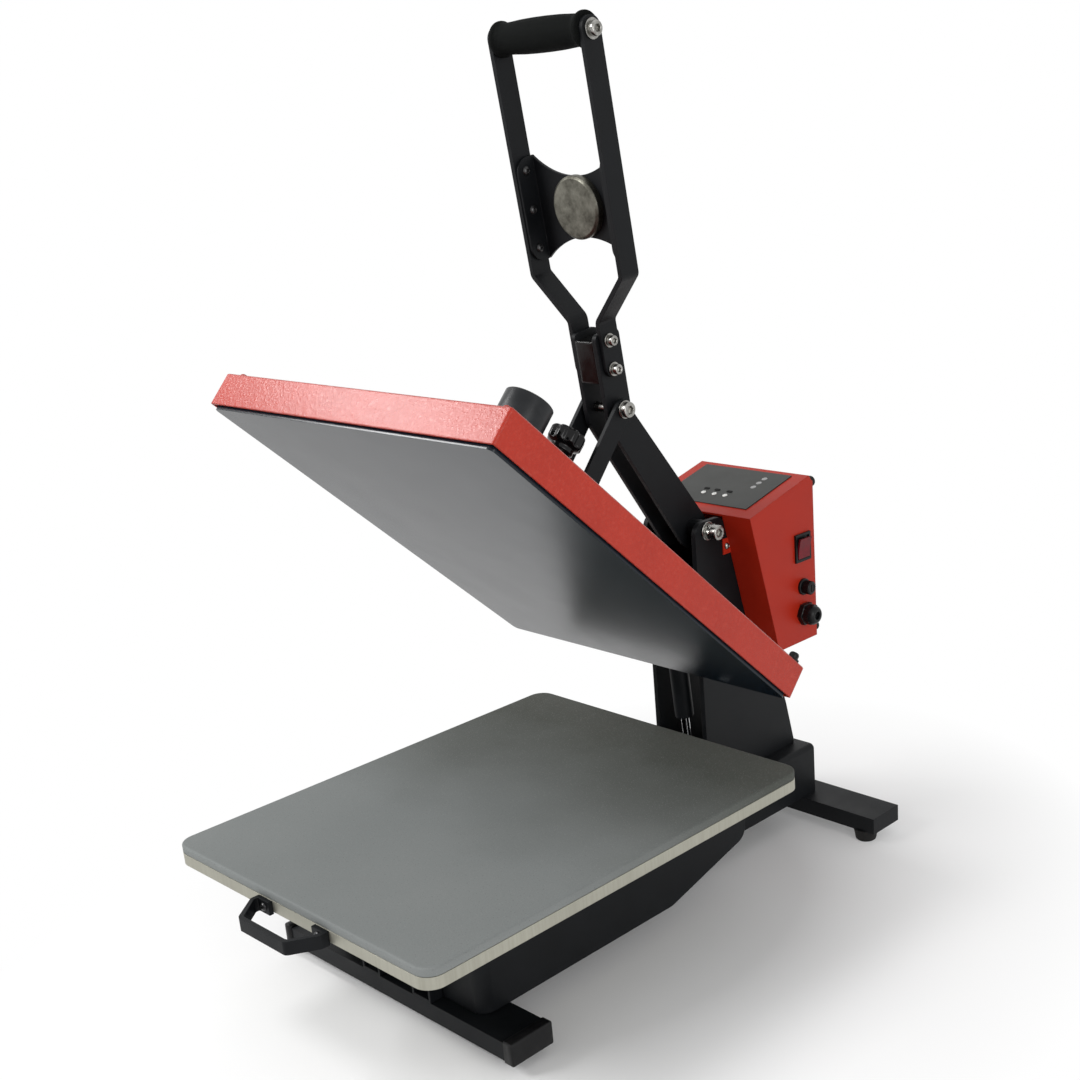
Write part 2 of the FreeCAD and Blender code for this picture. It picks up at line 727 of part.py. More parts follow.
slide_rail("left_slide_rail", -1)
slide_rail("right_slide_rail", 1)
slide_runner("left_slide_runner", -1)
slide_runner("right_slide_runner", 1)

# Base: two crossbars on rubber feet carry two rails and the channel-shaped beam.

cross_base = size("foot_tall")
cross_top = size("foot_tall") + size("cross_tall")
cross_left = size("cross_left")
rubber_feet = new_body("rubber_feet")
for end, right_end in (("front", size("front_cross_right")), ("rear", size("rear_cross_right"))):
    bar = new_body(end + "_crossbar")
    bar_front = size(end + "_cross_at")
    add(bar, SIDE, cross_left, right_end - cross_left, rectangle(
        bar_front, cross_base, bar_front + size("cross_deep"), cross_top))
    foot_y = bar_front + size(end + "_foot_in")
    foot_inset = size(end + "_foot_inset")
    for foot_x in (cross_left + foot_inset, right_end - foot_inset):
        add(rubber_feet, TOP, 0, size("foot_step"), polygon(foot_x, foot_y, size("foot_low_radius"), ROUND))
        add(rubber_feet, TOP, size("foot_step"), size("foot_tall") - size("foot_step"), polygon(
            foot_x, foot_y, size("foot_radius"), ROUND))

# The front crossbar's open ends are closed by caps that are pushed over them.

crossbar_caps = new_body("crossbar_caps")
cap_wall = size("cap_wall")
cap_low = cross_base - cap_wall
cap_front = size("front_cross_at") - 1
cap_back = size("front_cross_at") + size("cross_deep") + 1
for start in (cross_left - cap_wall, size("front_cross_right") + cap_wall - size("cap_long")):
    add(crossbar_caps, SIDE, start, size("cap_long"), rectangle(
        cap_front, cap_low, cap_back, cross_top + cap_wall))
bar_span = size("front_cross_right") - cross_left
cut(crossbar_caps, SIDE, cross_left, bar_span, rectangle(
    size("front_cross_at"), cross_base, size("front_cross_at") + size("cross_deep"), cross_top))

for name, side in (("left_rail", -1), ("right_rail", 1)):
    rail = new_body(name)
    inner = size("rail_inner") * side
    outer = (size("rail_inner") + size("rail_wide")) * side
    low, high = sorted((inner, outer), key=lambda value: value.number)
    rail_long = size("rail_back") - size("rail_front")
    add(rail, FRONT, size("rail_front"), rail_long, rectangle(
        low, cross_top, high, cross_top + size("rail_tall")))
    skin = size("rail_wall")
    cut(rail, FRONT, size("rail_front") - 1, rail_long + 2, rectangle(
        low + skin, cross_top + skin, high - skin, cross_top + size("rail_tall") - skin))

base_beam = new_body("base_beam")
beam_half = size("beam_half")
beam_skin = size("beam_wall")
add(base_beam, FRONT, size("beam_front"), size("beam_back") - size("beam_front"), [
    corner(-beam_half, cross_top),
    corner(beam_skin - beam_half, cross_top),
    corner(beam_skin - beam_half, size("beam_top") - beam_skin, 3),
    corner(beam_half - beam_skin, size("beam_top") - beam_skin, 3),
    corner(beam_half - beam_skin, cross_top),
    corner(beam_half, cross_top),
    corner(beam_half, size("beam_top"), 6),
    corner(-beam_half, size("beam_top"), 6),
])

# Column: two plates that carry the lever pivot at the top and the platen hinge behind it.
# A round boss on each plate's inner face keeps the lever in the middle.


def column_plate(name, side):
    body = new_body(name)
    pivot = (size("pivot_y"), size("pivot_z"))
    pivot_bore = size("pivot_radius") + size("fit_gap")
    start = size("column_inner") if side > 0 else -column_outer
    add(body, SIDE, start, size("column_thick"), [
        corner(size("column_front"), size("beam_top")),
        corner(size("column_back"), size("beam_top")),
        corner(size("column_back"), size("column_back_step")),
        corner(size("column_bend_y"), size("column_bend_z"), 20),
        corner(size("column_top_y"), size("column_top_z"), 14),
        corner(size("column_peak_y"), size("column_peak_z"), 8),
        corner(size("column_front"), size("column_peak_z"), 13),
    ])
    spacer_long = size("column_inner") - lever_outer - size("spacer_gap")
    spacer_start = lever_outer + size("spacer_gap") if side > 0 else -size("column_inner")
    add(body, SIDE, spacer_start, spacer_long, polygon(*pivot, size("spacer_radius"), ROUND))
    cut(body, SIDE, -column_outer - 1, column_outer * 2 + 2, holes=[
        (*pivot, pivot_bore),
        (size("hinge_y"), size("hinge_z"), size("hinge_radius") + size("fit_gap")),
    ])
    return body


column_outer = size("column_inner") + size("column_thick")
lever_outer = size("lever_inner") + size("lever_thick")
column_plate("left_column_plate", -1)
column_plate("right_column_plate", 1)


def socket_bolt(name, home, left_end, face, shank, stack, socket):
    """A bolt along X: a shank from its left end to a face, with washers and head piled on the face."""
    body = new_body(name, home)
    add(body, SIDE, left_end, face - left_end, holes=[(0, 0, shank)])
    top = face
    for radius, tall in stack:
        add(body, SIDE, top, tall, polygon(0, 0, radius, ROUND))
        top = top + tall
    cut(body, SIDE, top - 5, 6, polygon(0, 0, socket, HEX))
    return body


pivot_home = Home(0, size("pivot_y"), size("pivot_z"))
pivot_nut = 8
lever_pivot_bolt = socket_bolt(
    "lever_pivot_bolt", pivot_home, -column_outer - pivot_nut, column_outer, size("pivot_radius"),
    [(size("pivot_washer"), size("washer_thick")),
     (size("pivot_head"), size("pivot_head_out") - column_outer - size("washer_thick"))], 5.2)
add(lever_pivot_bolt, SIDE, -column_outer - pivot_nut, pivot_nut, polygon(0, 0, size("pivot_head"), HEX))

hinge_home = Home(0, size("hinge_y"), size("hinge_z"))
platen_hinge_pin = new_body("platen_hinge_pin", hinge_home)
hinge_half = column_outer + size("hinge_proud")
add(platen_hinge_pin, SIDE, -hinge_half, hinge_half * 2, holes=[(0, 0, size("hinge_radius"))])

spring_home = Home(0, size("spring_pin_y"), size("spring_pin_z"))
spring_lower_pin = new_body("spring_lower_pin", spring_home)
add(spring_lower_pin, SIDE, -size("column_inner"), size("column_inner") * 2, holes=[
    (0, 0, size("spring_pin_radius"))])

# Platen: drawn as if closed, with the hinge at its origin, and tilted up about the hinge.

platen_home = Home(0, size("hinge_y"), size("hinge_z"), turn=-size("open_angle"))
cover_back = -size("cover_rear")
cover_front = cover_back - size("cover_long")
cover_half = size("cover_half")
cover_top = size("cover_low") + size("cover_tall")
sheet_in = size("cover_sheet")

platen_cover = new_body("platen_cover", platen_home)
add(platen_cover, TOP, size("cover_low"), size("cover_tall"), rectangle(
    -cover_half, cover_front, cover_half, cover_back))
dress(platen_cover, "Fillet", 2.5, along("Z"))
dress(platen_cover, "Chamfer", 1.2, rim(cover_top))
cut(platen_cover, TOP, size("cover_low") - 1, size("cover_tall") - sheet_in + 1, rectangle(
    sheet_in - cover_half, cover_front + sheet_in, cover_half - sheet_in, cover_back - sheet_in))

heat_plate = new_body("heat_plate", platen_home)
inset = size("heater_inset")
heater_low = size("cover_low") - size("heater_proud")
heater_outline = rectangle(
    inset - cover_half, cover_front + inset, cover_half - inset, cover_back - inset, 6)
add(heat_plate, TOP, heater_low, size("heater_thick"), heater_outline)

insulation_board = new_body("insulation_board", platen_home)
board_low = heater_low + size("heater_thick")
add(insulation_board, TOP, board_low, cover_top - sheet_in - board_low, rectangle(
    inset - cover_half, cover_front + inset, cover_half - inset, cover_back - inset))

# The arm is a rectangular tube with a rounded tail on the hinge, a foot plate on the cover
# and two lugs for the gas spring, welded to one piece.

platen_arm = new_body("platen_arm", platen_home)
arm_half = size("arm_half")
arm_high = size("arm_tall") / 2
arm_skin = size("arm_wall")
screw_bore = size("screw_radius") + 0.3
add(platen_arm, SIDE, -arm_half, arm_half * 2, [
    corner(-size("arm_front"), -arm_high),
    boss(0, 0, arm_high),
    corner(-size("arm_front"), arm_high),
], [(0, 0, size("hinge_radius") + size("fit_gap"))])
cut(platen_arm, SIDE, arm_skin - arm_half, arm_half * 2 - arm_skin * 2, rectangle(
    arm_skin - size("arm_front"), arm_skin - arm_high, -36, arm_high - arm_skin))
mount_low = cover_top
add(platen_arm, TOP, mount_low, -arm_high - mount_low, rectangle(
    -size("mount_half"), -size("mount_front"), size("mount_half"), -size("mount_rear"), 8))
lug_pin = (-size("spring_top_u"), size("spring_top_n"))
for start in (size("lug_inner"), -size("lug_inner") - size("lug_thick")):
    add(platen_arm, SIDE, start, size("lug_thick"), [
        corner(lug_pin[0] - 16, -arm_high + 1),
        boss(lug_pin[0], lug_pin[1], 9),
        corner(lug_pin[0] + 16, -arm_high + 1),
    ])
lug_outer = size("lug_inner") + size("lug_thick")
for start in (lug_outer, -lug_outer - 3):
    add(platen_arm, SIDE, start, 3, polygon(lug_pin[0], lug_pin[1], 6.5, HEX))
cut(platen_arm, TOP, arm_high - arm_skin - 1, arm_skin + 2, holes=[(0, -size("knob_u"), screw_bore)])

magnet_bracket = new_body("magnet_bracket", platen_home)
bracket_top = size("magnet_top") - size("magnet_tall")
bracket_skin = size("bracket_sheet")
bracket_front = -size("magnet_u") - size("bracket_long") / 2
add(magnet_bracket, FRONT, bracket_front, size("bracket_long"), [
    corner(-arm_half, arm_high),
    corner(bracket_skin - arm_half, arm_high),
    corner(bracket_skin - arm_half, bracket_top - bracket_skin),
    corner(arm_half - bracket_skin, bracket_top - bracket_skin),
    corner(arm_half - bracket_skin, arm_high),
    corner(arm_half, arm_high),
    corner(arm_half, bracket_top, 4),
    corner(-arm_half, bracket_top, 4),
])

# Each round piece on the platen is turned about its own axis, square to the cover.


def on_platen(x, forward, height):
    """The home of a piece that stands square on the platen, at its tilted place."""
    tilt = size("open_angle")
    y = size("hinge_y") - forward * cosine(tilt) + height * sine(tilt)
    z = size("hinge_z") + forward * sine(tilt) + height * cosine(tilt)
    return Home(x, y, z, turn=-tilt)


electromagnet = new_body("electromagnet", on_platen(0, size("magnet_u"), bracket_top))
add(electromagnet, TOP, 0, size("magnet_tall"), holes=[(0, 0, size("magnet_radius"))])

knob_home = on_platen(0, size("knob_u"), size("knob_top") - size("knob_tall"))
pressure_knob = new_body("pressure_knob", knob_home)
knob_radius = size("knob_radius")
grip_start = size("knob_tall") - size("knob_grip")
add(pressure_knob, TOP, grip_start, size("knob_grip"), holes=[(0, 0, knob_radius)])
hollow_at = knob_radius + size("knob_hollow") * 0.8
hollow = cut(pressure_knob, TOP, grip_start - 1, size("knob_grip") + 2, polygon(
    hollow_at, 0, size("knob_hollow"), ROUND))
ring(pressure_knob, [hollow], size("knob_hollows"))
add(pressure_knob, TOP, 0, grip_start, polygon(0, 0, size("knob_neck"), SMOOTH))
screw_seat = size("knob_tall") - 7
cut(pressure_knob, TOP, -1, screw_seat + 1, polygon(0, 0, size("screw_radius"), ROUND))

# The pressure screw goes down into the arm, and its lock nut stands off the arm.

pressure_screw = new_body("pressure_screw", knob_home)
arm_face = arm_high + size("knob_tall") - size("knob_top")
screw_low = arm_face - arm_skin - 4
add(pressure_screw, TOP, screw_low, screw_seat - screw_low, polygon(0, 0, size("screw_radius"), ROUND))
add(pressure_screw, TOP, arm_face + 6, size("nut_tall"), polygon(0, 0, size("nut_radius"), HEX))

cover_screws = new_body("cover_screws", on_platen(0, 0, cover_top))
screw_forward = size("cover_rear") + size("cover_long") - 14
for side in (-1, 1):
    for forward in (screw_forward, size("cover_rear") + 40):
        add(cover_screws, TOP, 0, 2.4, polygon(side * (cover_half - 16), -forward, 4.5, ROUND))

heater_gland = new_body("heater_gland", on_platen(200, size("cover_rear") + 14, cover_top))
add(heater_gland, TOP, 0, 3, polygon(0, 0, 7, HEX))
add(heater_gland, TOP, 3, 6, polygon(0, 0, 5.4, ROUND))

# Lever: boomerang plates from the pivot past the knee to the handle, drawn upright about the pivot.
# a runs up the handle and b to the rear, and the whole lever leans to the front.
# A round boss outside each plate keeps its strut at a distance.

lever_home = Home(0, size("pivot_y"), size("pivot_z"), turn=size("lever_lean"))
knee = (size("knee_b"), size("knee_a"))
knee_bore = size("knee_radius") + size("fit_gap")
lever_front = size("lever_front")
lever_rear = size("lever_rear")
bolt_b = size("bolt_b")


def lever_plate(name, side):
    body = new_body(name, lever_home)
    start = size("lever_inner") if side > 0 else -lever_outer
    add(body, SIDE, start, size("lever_thick"), [
        boss(0, 0, size("leg_round")),
        corner(lever_rear, size("knee_a") - 6, 10),
        corner(lever_rear, size("lever_top"), 6),
        corner(lever_front, size("lever_top"), 6),
        corner(lever_front, size("knee_a") - 14, 14),
    ])
    boss_long = size("strut_inner") - size("spacer_gap") - lever_outer
    boss_start = lever_outer if side > 0 else size("spacer_gap") - size("strut_inner")
    add(body, SIDE, boss_start, boss_long, polygon(*knee, size("knee_boss"), ROUND))
    cut(body, SIDE, -size("strut_inner"), size("strut_inner") * 2, holes=[
        (0, 0, size("pivot_radius") + size("fit_gap")),
        (*knee, knee_bore),
    ])
    return body


lever_plate("left_lever_plate", -1)
lever_plate("right_lever_plate", 1)

lever_spacer_block = new_body("lever_spacer_block", lever_home)
add(lever_spacer_block, SIDE, -size("lever_inner"), size("lever_inner") * 2, rectangle(
    lever_front, size("block_low"), lever_rear, size("block_top")))

# Handle bars: flat beside the lever plates, splayed out, then straight up to the grip.


def handle_bar(name, side):
    body = new_body(name, lever_home)
    inner = lever_outer
    outer = inner + size("bar_thick")
    wide_out = size("bar_outer")
    wide_in = wide_out - size("bar_thick")
    low, bend, flare, top = [size("bar_" + word) for word in ("low", "bend", "flare", "top")]
    # the splay is steep, so the bends of the two faces are set apart along the bar
    shift = size("bar_thick") * 0.41
    path = [
        (inner, low), (outer, low), (outer, bend), (wide_out, flare),
        (wide_out, top), (wide_in, top), (wide_in, flare + shift), (inner, bend + shift),
    ]
    rounds = [0, 0, 6, 9, 0, 0, 4, 11]
    if side < 0:
        path.reverse()
        rounds.reverse()
    bar_start = bolt_b - size("bar_wide") / 2
    add(body, FRONT, bar_start, size("bar_wide"), [
        corner(x * side, z, radius) for (x, z), radius in zip(path, rounds)
    ])
    ends = (low.number, top.number)
    dress(body, "Fillet", size("bar_wide") / 2 - 0.5, along("X", lambda middle: any(
        abs(middle.z - end) < 1e-3 for end in ends)))
    cut(body, SIDE, -size("bar_outer") - 1 if side < 0 else Dim(0), size("bar_outer") + 1, holes=[
        (bolt_b, size("grip_a"), size("grip_bolt_radius") + size("fit_gap"))])
    return body


handle_bar("left_handle_bar", -1)
handle_bar("right_handle_bar", 1)

# Two socket bolts clamp bars, plates and block together; their heads are on the right bar.

lever_bolts = new_body("lever_bolts", lever_home)
bar_face = lever_outer + size("bar_thick")
washer_face = bar_face + size("washer_thick")
bolt_head_tall = 6.5
for alias in ("bolt_low", "bolt_high"):
    spot = (size("lever_bolt_b"), size(alias))
    add(lever_bolts, SIDE, bar_face, size("washer_thick"), polygon(*spot, size("bolt_washer"), ROUND))
    add(lever_bolts, SIDE, washer_face, bolt_head_tall, polygon(*spot, size("bolt_head"), ROUND))
    cut(lever_bolts, SIDE, washer_face + 3, bolt_head_tall, polygon(*spot, 2.9, HEX))

# Cross plate: a web with hollow edges and two flanges inside the bars, which the disc is screwed to.

cross_plate = new_body("cross_plate", lever_home)
web_half = size("bar_outer") - size("bar_thick")
web_skin = size("web_thick")
flange_front = bolt_b - size("bar_wide") / 2 + 1
web_back = size("web_b") + web_skin


def hollow_radius(depth, half):
    """The radius of an arc that is so deep over a chord of twice the half."""
    return (half * half + depth * depth) / (depth * 2)


edge_half = web_half - 2
top_depth = size("web_top") - size("web_top_mid")
low_depth = size("web_low_mid") - size("web_low")
top_round = hollow_radius(top_depth, edge_half)
low_round = hollow_radius(low_depth, edge_half)
add(cross_plate, FRONT, size("web_b"), web_skin, rectangle(-web_half, size("web_low"), web_half, size("web_top")))
for start in (-web_half, web_half - web_skin):
    add(cross_plate, SIDE, start, web_skin, [
        corner(flange_front, size("web_low"), 15),
        corner(web_back, size("web_low")),
        corner(web_back, size("web_top")),
        corner(flange_front, size("web_top"), 15),
    ])
cut(cross_plate, FRONT, size("web_b") - 1, web_skin + 2, holes=[(0, size("web_top_mid") + top_round, top_round)])
cut(cross_plate, FRONT, size("web_b") - 1, web_skin + 2, holes=[(0, size("web_low_mid") - low_round, low_round)])

cross_plate_screws = new_body("cross_plate_screws", lever_home)
flange_face = web_half - web_skin
for start in (-flange_face, flange_face - 3):
    for step in range(3):
        add(cross_plate_screws, SIDE, start, 3, polygon(bolt_b, size("web_low") + 13 + 38 * step, 4.5, ROUND))

disc_home_y = size("web_b")
armature_disc = new_body("armature_disc", lever_home)
add(armature_disc, FRONT, disc_home_y - size("disc_thick"), size("disc_thick"), holes=[
    (0, size("disc_a"), size("disc_radius"))])

disc_nut = new_body("disc_nut", lever_home)
add(disc_nut, FRONT, web_back, 5, polygon(0, size("disc_a"), 8, HEX))

# Grip: a barrel between two flanges, on a long socket bolt.


def on_lever(rearward, up):
    """The home of a piece turned about X at a point of the leaning lever."""
    lean = size("lever_lean")
    y = size("pivot_y") + rearward * cosine(lean) - up * sine(lean)
    z = size("pivot_z") + rearward * sine(lean) + up * cosine(lean)
    return Home(0, y, z)


grip_spot = on_lever(bolt_b, size("grip_a"))
handle_grip = new_body("handle_grip", grip_spot)
grip_half = web_half - 0.3
flange_in = grip_half - size("grip_flange_wide")
add(handle_grip, SIDE, -grip_half, grip_half * 2, polygon(0, 0, size("grip_radius"), SMOOTH))
for start in (-grip_half, flange_in):
    add(handle_grip, SIDE, start, size("grip_flange_wide"), polygon(0, 0, size("grip_flange"), SMOOTH))
grip_bore = size("grip_bolt_radius") + size("fit_gap")
cut(handle_grip, SIDE, -grip_half - 1, grip_half * 2 + 2, holes=[(0, 0, grip_bore)])

socket_bolt(
    "grip_bolt", grip_spot, -size("bar_outer"), size("bar_outer"), size("grip_bolt_radius"),
    [(Dim(9.5), size("washer_thick")), (size("grip_bolt_head"), Dim(6))], 4.2)

strut_outer = size("strut_inner") + size("strut_thick")
knee_spot = on_lever(size("knee_b"), size("knee_a"))
socket_bolt(
    "knee_bolt", knee_spot, -strut_outer - 1, strut_outer + 0.3, size("knee_radius"),
    [(Dim(9.5), size("washer_thick")), (size("knee_head"), Dim(6.2))], 4.8)

# Struts: two links from the knee down to the arm, hung from the knee.
# Their feet end in pins beside the arm, where the linkage is opened.

strut_home = Home(*knee_spot.spot, turn=-size("strut_lean"))


def strut(name, side):
    body = new_body(name, strut_home)
    start = size("strut_inner") if side > 0 else -strut_outer
    add(body, SIDE, start, size("strut_thick"), [
        boss(0, -size("strut_long"), size("strut_round")),
        boss(0, 0, size("strut_round")),
    ], [(0, 0, knee_bore)])
    head_start = strut_outer if side > 0 else -strut_outer - 8
    add(body, SIDE, head_start, 8, polygon(0, -size("strut_long"), size("knee_head"), ROUND))
    return body


strut("left_strut", -1)
strut("right_strut", 1)

# Gas spring: the rod's eye is on the lower pin, and the cylinder slides on the rod.
# Its upper eye stays free between the arm's lugs, where this chain is opened.

spring_frame = Home(*spring_home.spot, turn=size("spring_lean"))
eye_half = size("spring_eye_half")
pin_hole = size("spring_pin_radius") + size("fit_gap")

gas_spring_rod = new_body("gas_spring_rod", spring_frame)
rod_top = size("spring_rod_out") + size("spring_stroke") * 0.25
eye = size("spring_tube_radius") - 2
turn(gas_spring_rod, [
    corner(0, 0),
    corner(size("spring_rod_radius"), 0),
    corner(size("spring_rod_radius"), rod_top),
    corner(0, rod_top),
])
add(gas_spring_rod, SIDE, -eye_half, eye_half * 2, polygon(0, 0, eye, ROUND))
cut(gas_spring_rod, SIDE, -eye_half - 1, eye_half * 2 + 2, holes=[(0, 0, pin_hole)])

gas_spring_cylinder = new_body("gas_spring_cylinder", spring_frame)
tube_radius = size("spring_tube_radius")
rod_bore = size("spring_rod_radius") + size("fit_gap")
tube_low = size("spring_rod_out")
tube_high = size("spring_open") - eye - 2
bore_end = rod_top + size("spring_stroke") + 1
turn(gas_spring_cylinder, [
    corner(rod_bore, tube_low),
    corner(tube_radius, tube_low),
    corner(tube_radius, tube_high),
    corner(0, tube_high),
    corner(0, bore_end),
    corner(rod_bore, bore_end),
])
add(gas_spring_cylinder, SIDE, -eye_half, eye_half * 2, [
    corner(-6, tube_high - 1),
    corner(6, tube_high - 1),
    boss(0, size("spring_open"), 5),
])

# Control box: a wedge-shaped housing with a sloping top, slotted in front for the column plates.

control_box = new_body("control_box")
box_half = size("box_half")
box_front_top = (size("box_front_top_y"), size("box_front_top_z"))
box_rear_y = size("box_rear_y")
add(control_box, SIDE, -box_half, box_half * 2, [
    corner(size("box_front_low_y"), size("box_low_z")),
    corner(box_rear_y, size("box_low_z")),
    corner(box_rear_y, size("box_back_top_z")),
    corner(size("box_rear_top_y"), size("box_rear_top_z")),
    corner(box_front_top[0], box_front_top[1]),
])
slot_half = size("slot_half")
slot_gap = 6
cut(control_box, SIDE, -slot_half, slot_half * 2, [
    corner(size("box_front_top_y") - 20, size("box_low_z") - 5),
    corner(size("column_bend_y") - 22, size("box_low_z") - 5),
    corner(size("column_top_y") + slot_gap, size("column_top_z") + slot_gap),
    corner(size("box_front_top_y") + 4, size("box_front_top_z") - 2.5),
    corner(size("box_front_top_y") - 20, size("box_front_top_z") - 2.5),
])
hollow_out(control_box, size("sheet_thick"), lambda face: face.BoundBox.YMin > box_rear_y.number - 1e-3)
tab_low = size("pivot_z") - 33
tab_tall = 18
tab_long = 26
for start in (column_outer, -column_outer - size("sheet_thick")):
    add(control_box, SIDE, start, size("sheet_thick"), rectangle(
        box_front_top[0] - 1, tab_low, box_front_top[0] - 1 + tab_long, tab_low + tab_tall))

control_box_back = new_body("control_box_back")
add(control_box_back, FRONT, box_rear_y, size("sheet_thick"), rectangle(
    -box_half, size("box_low_z"), box_half, size("box_back_top_z")))

back_bumpers = new_body("back_bumpers")
for side in (-1, 1):
    for height in (size("bumper_low"), size("bumper_high")):
        add(back_bumpers, FRONT, box_rear_y + size("sheet_thick"), size("bumper_tall"), polygon(
            size("bumper_x") * side, height, size("bumper_radius"), ROUND))

# The panel and its keys lie along the sloping top.

slope_rise = size("box_rear_top_z") - box_front_top[1]
slope_run = size("box_rear_top_y") - box_front_top[0]
slope = Dim(math.degrees(math.atan2(slope_rise.number, slope_run.number)),
            "atan2(%s; %s)" % (slope_rise.formula, slope_run.formula))
slope_home = Home(0, box_front_top[0], box_front_top[1], turn=slope)

membrane_panel = new_body("membrane_panel", slope_home)
key_spots = [(size("key_middle") + size("key_pitch") * step, size("key_along")) for step in (-1, 0, 1)]
panel_end = size("panel_start") + size("panel_long")
key_gap = 0.4
add(membrane_panel, TOP, 0, size("panel_thick"), rectangle(
    size("panel_middle") - size("panel_half"), size("panel_start"),
    size("panel_middle") + size("panel_half"), panel_end))
for x, along_slope in key_spots:
    cut(membrane_panel, TOP, -1, size("panel_thick") + 2, polygon(x, along_slope, size("key_radius") + key_gap, ROUND))

key_rest = size("key_travel") + 0.1
key_tall = 1.3
for number, (x, along_slope) in enumerate(key_spots, start=1):
    key = new_body("button_%d" % number, slope_home)
    add(key, TOP, key_rest, key_tall, polygon(x, along_slope, size("key_radius"), ROUND))

# On the right side: power rocker in its bezel, fuse holder and cable gland.

rocker_frame = new_body("rocker_frame")
rocker_y = size("rocker_y")
rocker_z = size("rocker_z")
half_wide = size("rocker_wide") / 2
half_tall = size("rocker_tall") / 2
bezel = 3
add(rocker_frame, SIDE, box_half, 2.5, rectangle(
    rocker_y - half_wide, rocker_z - half_tall, rocker_y + half_wide, rocker_z + half_tall))
cut(rocker_frame, SIDE, box_half + 0.6, 3, rectangle(
    rocker_y - half_wide + bezel, rocker_z - half_tall + bezel,
    rocker_y + half_wide - bezel, rocker_z + half_tall - bezel))

rocker_home = Home(box_half + 2.6, rocker_y, rocker_z, axis=(0, 1, 0), turn=size("rocker_tilt"))
rocker_switch = new_body("rocker_switch", rocker_home)
rocker_half = half_tall - bezel - 0.7
add(rocker_switch, FRONT, bezel + 0.4 - half_wide, half_wide * 2 - (bezel + 0.4) * 2, [
    corner(-0.2, -rocker_half + 1),
    corner(2.4, -rocker_half + 0.5),
    corner(1.6, 0, 30),
    corner(2.4, rocker_half - 0.5),
    corner(-0.2, rocker_half - 1),
    corner(-0.9, 0, 30),
])

fuse_holder = new_body("fuse_holder", Home(box_half, size("fuse_y"), size("fuse_z"), axis=(0, 1, 0), turn=90))
add(fuse_holder, TOP, 0, 3.2, polygon(0, 0, 9.8, ROUND))
add(fuse_holder, TOP, 3.2, 9.8, polygon(0, 0, 8, ROUND))
cut(fuse_holder, TOP, 11.5, 3, rectangle(-6, -0.8, 6, 0.8))

cable_gland = new_body("cable_gland", Home(box_half, size("gland_y"), size("gland_z"), axis=(0, 1, 0), turn=90))
add(cable_gland, TOP, 0, 7, polygon(0, 0, 14, HEX))
add(cable_gland, TOP, 7, 13, polygon(0, 0, 10, ROUND))
cut(cable_gland, TOP, 7, 14, polygon(0, 0, 4.5, ROUND))

box_screws = new_body("box_screws")
tab_screw = (box_front_top[0] + 5, tab_low + tab_tall / 2)
for start in (column_outer + size("sheet_thick"), -column_outer - size("sheet_thick") - 2.5):
    add(box_screws, SIDE, start, 2.5, polygon(tab_screw[0], tab_screw[1], 3.8, ROUND))

# Every object must be sound before anything is written.

doc.recompute()
for thing in doc.Objects:
    if "Invalid" in thing.State or "Error" in thing.State:
        raise ValueError("%s failed" % thing.Name)
for piece in PIECES:
    if piece.Shape.isNull() or not piece.Shape.isValid():
        raise ValueError("%s has no sound shape" % piece.Label)
for piece in PIECES:
    piece.Shape.exportStep("parts/%s.step" % piece.Label)
box = Part.makeCompound([piece.Shape for piece in PIECES]).BoundBox
print("pieces", len(PIECES))
print("box", [round(value, 1) for value in (box.XMin, box.XMax, box.YMin, box.YMax, box.ZMin, box.ZMax)])
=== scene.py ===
import math
import bmesh
import bpy
from mathutils import Matrix, Vector


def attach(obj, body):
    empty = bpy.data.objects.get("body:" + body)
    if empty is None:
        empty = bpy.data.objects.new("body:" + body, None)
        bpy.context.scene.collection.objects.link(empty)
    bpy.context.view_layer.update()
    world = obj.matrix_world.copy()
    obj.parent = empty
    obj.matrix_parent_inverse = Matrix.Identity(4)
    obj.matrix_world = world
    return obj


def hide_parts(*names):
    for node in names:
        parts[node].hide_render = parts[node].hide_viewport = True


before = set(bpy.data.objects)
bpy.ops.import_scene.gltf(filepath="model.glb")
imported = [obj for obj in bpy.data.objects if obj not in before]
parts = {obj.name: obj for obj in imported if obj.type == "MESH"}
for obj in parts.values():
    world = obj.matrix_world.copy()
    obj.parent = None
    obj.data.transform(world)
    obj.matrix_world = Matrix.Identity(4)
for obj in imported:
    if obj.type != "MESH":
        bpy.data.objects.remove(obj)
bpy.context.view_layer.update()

scene = bpy.context.scene

# Camera: a long lens from the front right, a little above the lower plate, tipped a few
# degrees. The picture's centre is off the lens axis, so the lens is shifted.

view_turn = math.radians(44.657)
view_rise = math.radians(18.951)
view_tip = math.radians(-3.905)
picture = 1080
focal = 1508.3
axis_at = (647.62, 634.9)

ahead = Vector((-math.sin(view_turn) * math.cos(view_rise),
                math.cos(view_turn) * math.cos(view_rise),
                -math.sin(view_rise))).normalized()
level = Vector((math.cos(view_turn), math.sin(view_turn), 0))
upright = level.cross(ahead)
across = level * math.cos(view_tip) + upright * math.sin(view_tip)
above = upright * math.cos(view_tip) - level * math.sin(view_tip)

lens = bpy.data.cameras.new("camera")
lens.sensor_width = 36
lens.lens = focal / picture * 36
lens.shift_x = (picture / 2 - axis_at[0]) / picture
lens.shift_y = (axis_at[1] - picture / 2) / picture
lens.clip_end = 30
camera = bpy.data.objects.new("camera", lens)
columns = Matrix((across, above, -ahead)).transposed().to_4x4()
camera.matrix_world = Matrix.Translation((1.10663, -0.97464, 0.82675)) @ columns
scene.collection.objects.link(camera)
scene.camera = camera
